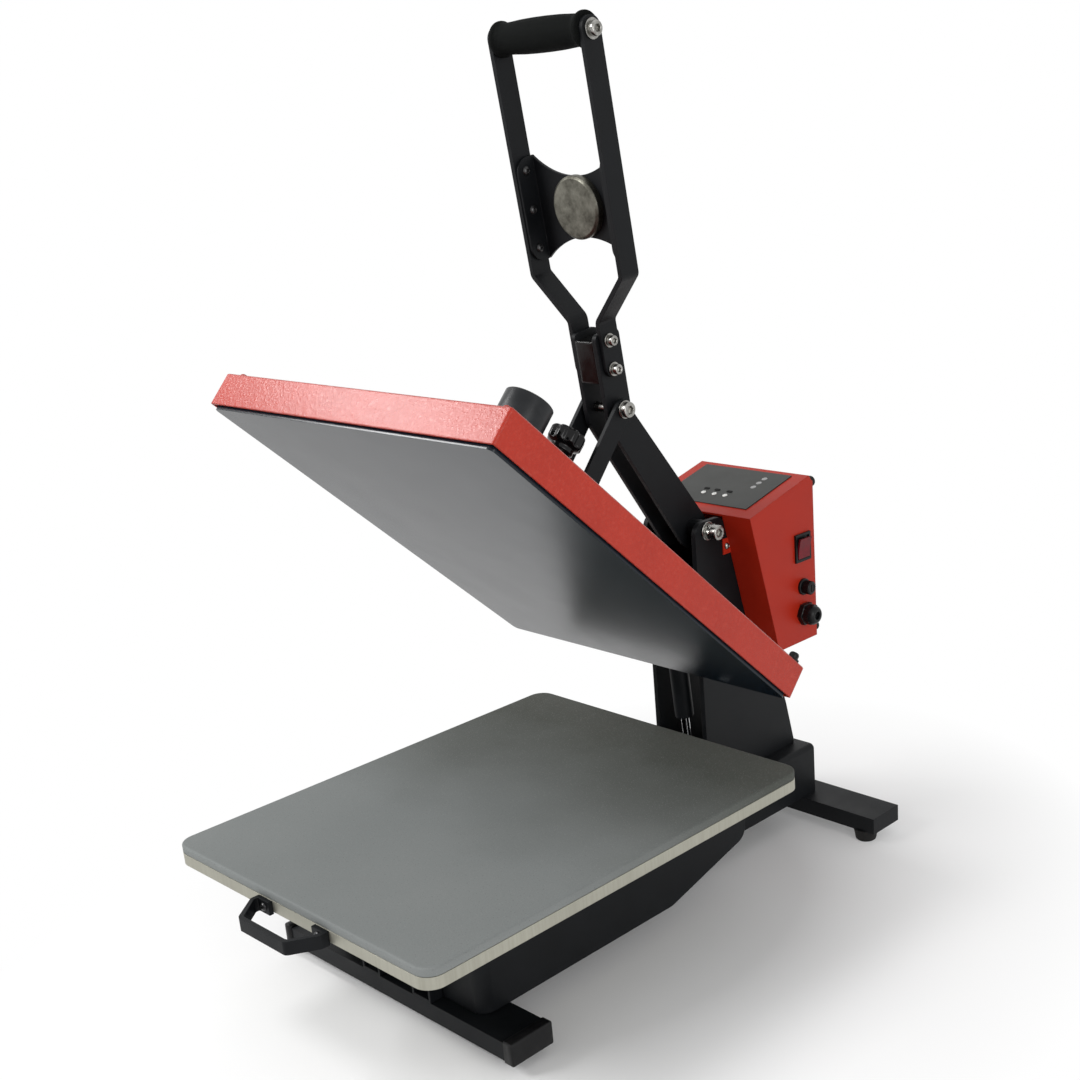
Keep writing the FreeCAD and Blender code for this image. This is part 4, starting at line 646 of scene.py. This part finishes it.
# Dark rounded patches, one just behind and beside each key on the slope.
dark_print = Finish("dark_print", ior=1.15)
dark_print.feed(dark_print.shader.inputs["Base Color"], dark_print.tint(dark_print.span(dark_print.cloud(700, 3), 0.3, 0.7), (0.004, 0.004, 0.004), (0.007, 0.007, 0.007)))
dark_print.shader.inputs["Roughness"].default_value = 0.5
dark_print.relief(dark_print.cloud(2600, 1), 0.00002)
mark = stacked([(rounded_frame(3.9, -2, 2, 1.6, steps=4), 0), (rounded_frame(3.9, -2, 2, 1.6, 0.1, steps=4), 0.5)])
marks = set_out("marks", mark, [on_panel(x, 47.5, 1.0) for x in (-20.8, -5.1, 12.8)], dark_print)
lamp_lens = Finish("lamp_lens", coat=0.6)
lamp_lens.feed(lamp_lens.shader.inputs["Base Color"], lamp_lens.tint(lamp_lens.span(lamp_lens.cloud(500, 2), 0.3, 0.7), (0.16, 0.16, 0.16), (0.24, 0.24, 0.24)))
lamp_lens.shader.inputs["Roughness"].default_value = 0.25
lamp_lens.relief(lamp_lens.cloud(900, 1), 0.00003)
lens_dome = turned([(0, -0.3)] + eased([(3.4, -0.3), (3.4, 0.2), (2.2, 0.45), (0, 0.5)], 0.5))
lamps = set_out("lamps", lens_dome, [on_panel(34, along, 1.0) for along in (64.6, 75, 85.5)], lamp_lens)
fitted("panel_marks_and_lamps", "base", "panel_film", [], (marks, None, dark_print), (lamps, None, lamp_lens))

# Right side of the box: the power rocker in its black bezel, the fuse holder's ribbed cap, and
# the cable gland with its clamping nut.

black_plastic.dress("rocker_frame")
rocker_red = Finish("rocker_red", coat=0.05, ior=1.22)
rocker_red.shader.inputs["Coat Roughness"].default_value = 0.08
rocker_red.feed(rocker_red.shader.inputs["Base Color"], rocker_red.tint(rocker_red.span(rocker_red.cloud(90, 3), 0.3, 0.7), (0.1, 0.004, 0.009), (0.16, 0.007, 0.014)))
rocker_red.shader.inputs["Roughness"].default_value = 0.22
rocker_red.edges(0.0006)
rocker_red.relief(rocker_red.cloud(500, 1), 0.00005)
rocker_red.dress("rocker_switch")


def ring_of(name, shape, count, radius, finish):
    """Copies of one small shape round the Z axis, all facing outwards."""
    recipe = Recipe(name, Part=loose(name + "_one", shape), Count=count, Radius=radius, Finish=finish.material)
    circle = recipe.step("GeometryNodeMeshCircle", {"Vertices": recipe.given["Count"], "Radius": recipe.given["Radius"]})
    share = recipe.sum("DIVIDE", math.tau, recipe.given["Count"])
    angle = recipe.sum("MULTIPLY", recipe.step("GeometryNodeInputIndex", {}).outputs[0], share)
    turn = recipe.step("ShaderNodeCombineXYZ", {"Z": angle})
    copies = recipe.step("GeometryNodeInstanceOnPoints", {
        "Points": circle.outputs["Mesh"], "Instance": recipe.part(), "Rotation": turn.outputs[0]})
    return recipe.run(copies.outputs["Instances"], bpy.data.meshes.new(name))


def rib(deep, wide, low, high):
    """A straight rib along Z with a rounded back."""
    return stacked([([(-deep, -wide), (deep * 0.4, -wide), (deep, -wide * 0.4), (deep, wide * 0.4), (deep * 0.4, wide), (-deep, wide)], height)
                    for height in (low, high)])


fuse = at(80, 322, 308, (90, "Y"))
fitted("fuse_holder_cap", "base", "black_plastic", ["fuse_holder"],
       (turned([(0, 0)] + eased([(9.6, 0), (9.7, 2.6), (8.6, 3.2), (0, 3.2)], 0.8)), fuse, black_plastic),
       (turned([(0, 3)] + eased([(7.2, 3), (7.2, 12.2), (6.2, 13), (4.4, 13), (4.2, 12.4), (0, 12.4)], 0.6)), fuse, black_plastic),
       (ring_of("fuse_ribs", rib(0.5, 0.45, 4.2, 12.2), 24, 7.35, black_plastic), fuse, black_plastic),
       (stacked([(rounded_frame(4.0, -0.8, 0.8, 0.6, steps=3), 12.3), (rounded_frame(4.0, -0.8, 0.8, 0.6, 0.15, steps=3), 12.95)]), fuse, black_plastic))
gland = at(80, 322, 276, (90, "Y"))
fitted("cable_gland_nut", "base", "black_plastic", ["cable_gland"],
       (turned([(0, 0), (12.0, 0), (12.0, 1.0, 6), (12.0, 6.2, 6), (11.4, 7), (0, 7)]), gland, black_plastic),
       (turned([(0, 7)] + eased([(11.4, 7), (11.4, 13.5), (10.2, 17.6), (7.6, 20), (4.6, 20), (4.6, 16)], 2.2, 4) + [(0, 16)]), gland, black_plastic),
       (ring_of("gland_ribs", rib(0.8, 1.5, 7.8, 14.2), 12, 11.2, black_plastic), gland, black_plastic))

# Back bumpers: four black rubber buttons that the machine can be stood on or pushed to a wall.

bumper = turned([(0, 0)] + eased([(6.5, 0), (6.3, 6.5), (5.2, 8.5), (2.4, 8.5), (2.2, 5.5), (0, 5.5)], 1.4))
bumpers = set_out("bumpers", bumper, [at(x, 345, z, (-90, "X")) for x in (-72, 72) for z in (252, 424)], foot_rubber)
fitted("back_bumper_buttons", "base", "foot_rubber", ["back_bumpers"], (bumpers, None, foot_rubber))

# Upper platen cover: a folded steel hood in red hammertone, open below, with welded corners
# and four button-head screws on top.

hammertone = Finish("red_hammertone", ior=1.38)
edge = hammertone.edges(0.0018)
blot = hammertone.span(hammertone.cloud(16, 4), 0.3, 0.7)
fleck = hammertone.span(hammertone.cloud(420, 2), 0.5, 0.7)
red = hammertone.tint(blot, (0.345, 0.0185, 0.0065), (0.39, 0.0225, 0.0085))
red = hammertone.tint(hammertone.sum("MULTIPLY", fleck, 0.35), red, (0.5, 0.055, 0.03))
hammertone.feed(hammertone.shader.inputs["Base Color"], hammertone.tint(hammertone.wear(edge, 0.4), red, (0.62, 0.3, 0.24)))
hammertone.feed(hammertone.shader.inputs["Roughness"], hammertone.span(fleck, 0, 1, 0.32, 0.22))
hammertone.relief(hammertone.sum("ADD", hammertone.cloud(300, 2), hammertone.sum("MULTIPLY", fleck, 0.25)), 0.00022)
hammertone.dress("platen_cover")
open_angle = 42.9


def on_platen(x, forward, height):
    """A place on the upper platen: forward of its hinge, and above the hinge line."""
    return at(0, 250, 241, (-open_angle, "X")) @ Matrix.Translation((x, -forward, height))


cover_top = -64 + 34.5
spots = [on_platen(side * 192, forward, cover_top) for side in (-1, 1) for forward in (98 + 487 - 9, 98 + 40)]
lid_screws = set_out("lid_screws", button_head(4.5, 4.6, 1.5), spots, hammertone, turn=60)
fitted("cover_button_screws", "platen", "red_hammertone", ["cover_screws"], (lid_screws, None, hammertone))

# Heat plate: a cast aluminium heater under the cover with a smooth dark grey non-stick coat;
# above it lies a fibre board that keeps the heat from the cover.

heater_coat = Finish("heater_coat", gloss=0.27)
mist = heater_coat.span(heater_coat.cloud(6, 3), 0.3, 0.7)
heater_coat.feed(heater_coat.shader.inputs["Base Color"], heater_coat.tint(mist, (0.003, 0.0075, 0.0125), (0.0045, 0.009, 0.015)))
heater_coat.feed(heater_coat.shader.inputs["Roughness"], heater_coat.span(heater_coat.cloud(25, 3), 0.3, 0.7, 0.2, 0.23))
heater_coat.edges(0.0008)
heater_coat.relief(heater_coat.cloud(2500, 1), 0.000006)
heater_coat.dress("heat_plate")
fibre = Finish("fibre_board")
strand = fibre.span(fibre.cloud(300, 4, stretch=(0.2, 1, 1)), 0.3, 0.7)
fibre.feed(fibre.shader.inputs["Base Color"], fibre.tint(strand, (0.38, 0.34, 0.27), (0.5, 0.46, 0.38)))
fibre.shader.inputs["Roughness"].default_value = 0.85
fibre.relief(strand, 0.0002)
fibre.dress("insulation_board")

# Arm on the platen: a box-section arm in black coat from the hinge forward, with the magnet's
# folded bracket on its end.

black_coat.dress("platen_arm", "magnet_bracket")

# Electromagnet: a round pot of dark painted steel on the bracket, its face ground bright round
# a ring of dark resin.

magnet_shell = Finish("magnet_shell", ior=1.33)
film = magnet_shell.span(magnet_shell.cloud(80, 3), 0.3, 0.7)
magnet_shell.feed(magnet_shell.shader.inputs["Base Color"], magnet_shell.tint(film, (0.008, 0.0095, 0.011), (0.014, 0.016, 0.018)))
magnet_shell.feed(magnet_shell.shader.inputs["Roughness"], magnet_shell.span(film, 0, 1, 0.28, 0.38))
magnet_shell.relief(magnet_shell.cloud(900, 2), 0.00004)
ground_steel = Finish("ground_steel", metal=0.9)
blotch = ground_steel.span(ground_steel.cloud(70, 6, rough=0.65), 0.32, 0.66)
ground_steel.feed(ground_steel.shader.inputs["Base Color"], ground_steel.tint(blotch, (0.05, 0.048, 0.038), (0.19, 0.185, 0.155)))
ground_steel.feed(ground_steel.shader.inputs["Roughness"], ground_steel.span(blotch, 0, 1, 0.55, 0.32))
ground_steel.relief(ground_steel.cloud(800, 4), 0.00006)
pot = on_platen(0, 404.7, 44.5)
fitted("electromagnet_pot", "platen", "black_coat", ["electromagnet"],
       (turned([(0, 0)] + eased([(25, 0), (26, 1), (26, 29), (25, 29.6)], 0.8)), pot, magnet_shell),
       (turned([(17, 29.2), (25.05, 29.2), (25.05, 29.6), (24.6, 30), (17, 30)], closed=True), pot, ground_steel),
       (turned([(0, 29.2), (13.4, 29.2), (13.5, 30), (0, 30)]), pot, ground_steel),
       (turned([(13.4, 29.0), (17.1, 29.0), (17.1, 29.5), (13.4, 29.5)], closed=True), pot, black_plastic))

# Pressure knob: glossy black plastic with eight finger hollows, on a threaded steel screw with
# its lock nut, which sets how far the platen comes down.

knob_gloss = Finish("knob_gloss", coat=0.42, ior=1.1)
knob_gloss.shader.inputs["Coat Roughness"].default_value = 0.06
swirl = knob_gloss.span(knob_gloss.cloud(90, 3), 0.3, 0.7)
knob_gloss.feed(knob_gloss.shader.inputs["Base Color"], knob_gloss.tint(swirl, (0.003, 0.003, 0.0034), (0.005, 0.005, 0.0055)))
knob_gloss.feed(knob_gloss.shader.inputs["Roughness"], knob_gloss.span(swirl, 0, 1, 0.25, 0.35))
knob_gloss.relief(knob_gloss.cloud(500, 1), 0.00003)


def lobed(name, shape, lobes, depth, radius, start, finish):
    """Presses finger hollows into the upper part of a turned knob."""
    recipe = Recipe(name, Lobes=lobes, Depth=depth, Radius=radius, Start=start, Finish=finish.material)
    spot = recipe.step("GeometryNodeInputPosition", {}).outputs[0]
    apart = recipe.step("ShaderNodeSeparateXYZ", {0: spot}).outputs
    angle = recipe.sum("MULTIPLY", recipe.sum("ARCTAN2", apart["Y"], apart["X"]), recipe.given["Lobes"])
    wave = recipe.sum("ADD", recipe.sum("MULTIPLY", recipe.sum("COSINE", angle), 0.5), 0.5)
    press = recipe.sum("MULTIPLY", recipe.sum("POWER", wave, 1.6), recipe.sum("DIVIDE", recipe.given["Depth"], recipe.given["Radius"]))
    above = recipe.step("ShaderNodeMapRange", {
        "Value": apart["Z"], "From Min": recipe.given["Start"], "From Max": recipe.sum("ADD", recipe.given["Start"], 1.5)}).outputs[0]
    keep = recipe.sum("SUBTRACT", 1.0, recipe.sum("MULTIPLY", press, above))
    scale = recipe.step("ShaderNodeCombineXYZ", {"X": keep, "Y": keep, "Z": 1.0}).outputs[0]
    moved = recipe.step("ShaderNodeVectorMath", {0: spot, 1: scale}, operation="MULTIPLY").outputs[0]
    result = recipe.step("GeometryNodeSetPosition", {"Geometry": recipe.given["Geometry"], "Position": moved})
    return recipe.run(result.outputs["Geometry"], drawn(name, shape))


def thread(name, radius, pitch, turns, finish):
    """The ridge of a screw thread, climbing from the ground plane."""
    recipe = Recipe(name, Radius=radius, Pitch=pitch, Turns=turns, Finish=finish.material)
    climb = recipe.step("GeometryNodeCurveSpiral", {
        "Resolution": 20, "Rotations": recipe.given["Turns"], "Start Radius": recipe.given["Radius"],
        "End Radius": recipe.given["Radius"], "Height": recipe.sum("MULTIPLY", recipe.given["Pitch"], recipe.given["Turns"])})
    tooth = recipe.step("GeometryNodeCurvePrimitiveCircle", {"Resolution": 4, "Radius": recipe.sum("MULTIPLY", recipe.given["Pitch"], 0.48)})
    ridge = recipe.step("GeometryNodeCurveToMesh", {
        "Curve": climb.outputs["Curve"], "Profile Curve": tooth.outputs["Curve"], "Fill Caps": True})
    return recipe.run(ridge.outputs["Mesh"], bpy.data.meshes.new(name))


knob_at = on_platen(0, 341, 54)
body = turned([(0, 0)] + eased([(9, 0), (13.4, 1.2), (12.6, 6.5), (16.5, 8.2), (19.3, 10), (19.5, 21.5), (17, 24.4), (9, 25), (7.6, 23.6), (0, 23.4)], 1.5, 4), sides=96)
fitted("pressure_knob_lobed", "knob", "black_plastic", ["pressure_knob"],
       (lobed("knob_lobes", body, 8, 2.6, 19.5, 8.6, knob_gloss), knob_at, knob_gloss), sharp=50)
fitted("pressure_screw_threaded", "knob", "zinc", ["pressure_screw"],
       (shank(5.2, -37, 2), knob_at, zinc),
       (thread("knob_thread", 5.2, 1.6, 22.0, zinc), knob_at @ Matrix.Translation((0, 0, -36)), zinc),
       (hex_nut(9.0, 5.4, 6), knob_at @ Matrix.Translation((0, 0, -24)), zinc))

# Heater gland: a small black gland on the rear right of the cover, where the heater's wires
# go in.

heater_gland = on_platen(200, 112, cover_top)
fitted("heater_gland_nut", "platen", "black_plastic", ["heater_gland"],
       (turned([(0, 0), (6.0, 0), (6.0, 0.4, 6), (6.0, 2.6, 6), (5.8, 3), (0, 3)]), heater_gland, black_plastic),
       (turned([(0, 3)] + eased([(5.2, 3), (5.2, 7), (4, 9), (2.4, 9), (2.2, 5)], 0.9) + [(0, 5)]), heater_gland, black_plastic))

# Lever: two boomerang plates in black coat with a glossy enamelled block between them, and the
# handle bars bolted to their outsides with cap screws and washers.

black_coat.dress("left_lever_plate", "right_lever_plate", "left_handle_bar", "right_handle_bar")
black_enamel = Finish("black_enamel", ior=1.34)
film = black_enamel.span(black_enamel.cloud(70, 3), 0.3, 0.7)
black_enamel.feed(black_enamel.shader.inputs["Base Color"], black_enamel.tint(film, (0.003, 0.003, 0.003), (0.005, 0.005, 0.005)))
black_enamel.feed(black_enamel.shader.inputs["Roughness"], black_enamel.span(film, 0, 1, 0.1, 0.2))
black_enamel.edges(0.003)
black_enamel.relief(black_enamel.cloud(600, 2), 0.00004)
black_enamel.dress("lever_spacer_block")
lever_lean = 7.4


def on_lever(x, rearward, up):
    """A place on the leaning lever, measured from its pivot."""
    return at(0, 209.5, 395, (lever_lean, "X")) @ Matrix.Translation((x, rearward, up))


to_right = Matrix.Rotation(math.radians(90), 4, "Y")
bolt_spots = [on_lever(24.5, -83.8, up) @ to_right for up in (205.5, 235)]
washer_spots = [on_lever(22.5, -83.8, up) @ to_right for up in (205.5, 235)]
fitted("lever_cap_screws", "lever", "zinc", ["lever_bolts"],
       (set_out("lever_heads", socket_bolt(5.3, 6.4, 2.5, 3.2), bolt_spots, zinc, turn=60), None, zinc),
       (set_out("lever_washers", washer(7.2, 2.8, 1.9), washer_spots, zinc), None, zinc))

# Cross plate between the bars: folded sheet with hollowed edges, screwed to the bars, which
# holds the steel disc that the magnet catches.

black_coat.dress("cross_plate")
inward = [on_lever(side * 57, -81.8, up) @ Matrix.Rotation(math.radians(-90 * side), 4, "Y") for side in (-1, 1) for up in (326, 364, 402)]
fitted("cross_plate_button_screws", "lever", "black_coat", ["cross_plate_screws"],
       (set_out("flange_screws", button_head(4.5, 2.8, 1.6), inward, dark_steel, turn=60), None, dark_steel))
disc_at = on_lever(0, -70.5, 364) @ Matrix.Rotation(math.radians(90), 4, "X")
fitted("armature_disc_ground", "lever", "ground_steel", ["armature_disc"],
       (turned([(0, 0)] + eased([(31, 0), (31, 6.4), (28.4, 8.5), (0, 8.5)], 0.7), sides=72), disc_at, ground_steel))
fitted("disc_lock_nut", "lever", "zinc", ["disc_nut"],
       (hex_nut(6.9, 4.2, 5), on_lever(0, -67.5, 364) @ Matrix.Rotation(math.radians(-90), 4, "X"), zinc),
       (shank(4.1, -0.5, 5.4), on_lever(0, -67.5, 364) @ Matrix.Rotation(math.radians(-90), 4, "X"), zinc))

# Grip: black foam rubber on a tube, fuller in the middle and waisted before its end flanges,
# on a long cap screw through both bars.

grip_foam = Finish("grip_foam", ior=1.1)
pore = grip_foam.span(grip_foam.cloud(1500, 3), 0.35, 0.65)
grip_foam.feed(grip_foam.shader.inputs["Base Color"], grip_foam.tint(pore, (0.0035, 0.004, 0.0038), (0.0075, 0.0083, 0.008)))
grip_foam.feed(grip_foam.shader.inputs["Roughness"], grip_foam.span(pore, 0, 1, 0.62, 0.78))
grip_foam.relief(pore, 0.00025)
grip_at = on_lever(0, -81.8, 524.5) @ to_right
grip_line = [(5.2, -59.7), (15.4, -59.7), (16.7, -58.4), (16.8, -55.2), (15.4, -53.2), (14.4, -49), (14.6, -42), (15.6, -26),
             (16, -8), (16, 8), (15.6, 26), (14.6, 42), (14.2, 49), (15.4, 53.2), (16.8, 55.2), (16.7, 58.4), (15.4, 59.7), (5.2, 59.7)]
fitted("handle_grip_foam", "lever", "grip_foam", ["handle_grip"],
       (turned(eased(grip_line, 3, 2), closed=True, sides=48), grip_at, grip_foam), sharp=60)
fitted("grip_cap_screw", "lever", "zinc", ["grip_bolt"],
       (shank(4.9, -65, 66), grip_at, zinc),
       (washer(9.4, 5.1, 2), grip_at @ Matrix.Translation((0, 0, 65)), zinc),
       (socket_bolt(6.9, 6, 3.4, 3.6), grip_at @ Matrix.Translation((0, 0, 67)), zinc))

# Knee: one cap screw joins the lever and the two struts, flat bars that push the platen down.

black_coat.dress("left_strut", "right_strut")
knee_at = on_lever(0, -82.5, 163) @ to_right
fitted("knee_cap_screw", "lever", "zinc", ["knee_bolt"],
       (shank(4.9, -28, 28), knee_at, zinc),
       (washer(9.4, 5.1, 2), knee_at @ Matrix.Translation((0, 0, 27.3)), zinc),
       (socket_bolt(8.2, 6.2, 4.2, 3.8), knee_at @ Matrix.Translation((0, 0, 29.3)), zinc))

# Gas spring: a chromed rod that slides in a black painted cylinder, with a flat eye at each
# end; it lifts the platen.

chrome = Finish("chrome", metal=1.0)
polish = chrome.span(chrome.cloud(300, 2), 0.3, 0.7)
chrome.feed(chrome.shader.inputs["Base Color"], chrome.tint(polish, (0.62, 0.63, 0.64), (0.72, 0.73, 0.74)))
chrome.feed(chrome.shader.inputs["Roughness"], chrome.span(polish, 0, 1, 0.08, 0.14))
chrome.relief(chrome.cloud(1200, 1), 0.00001)
chrome.dress("gas_spring_rod")
black_coat.dress("gas_spring_cylinder")
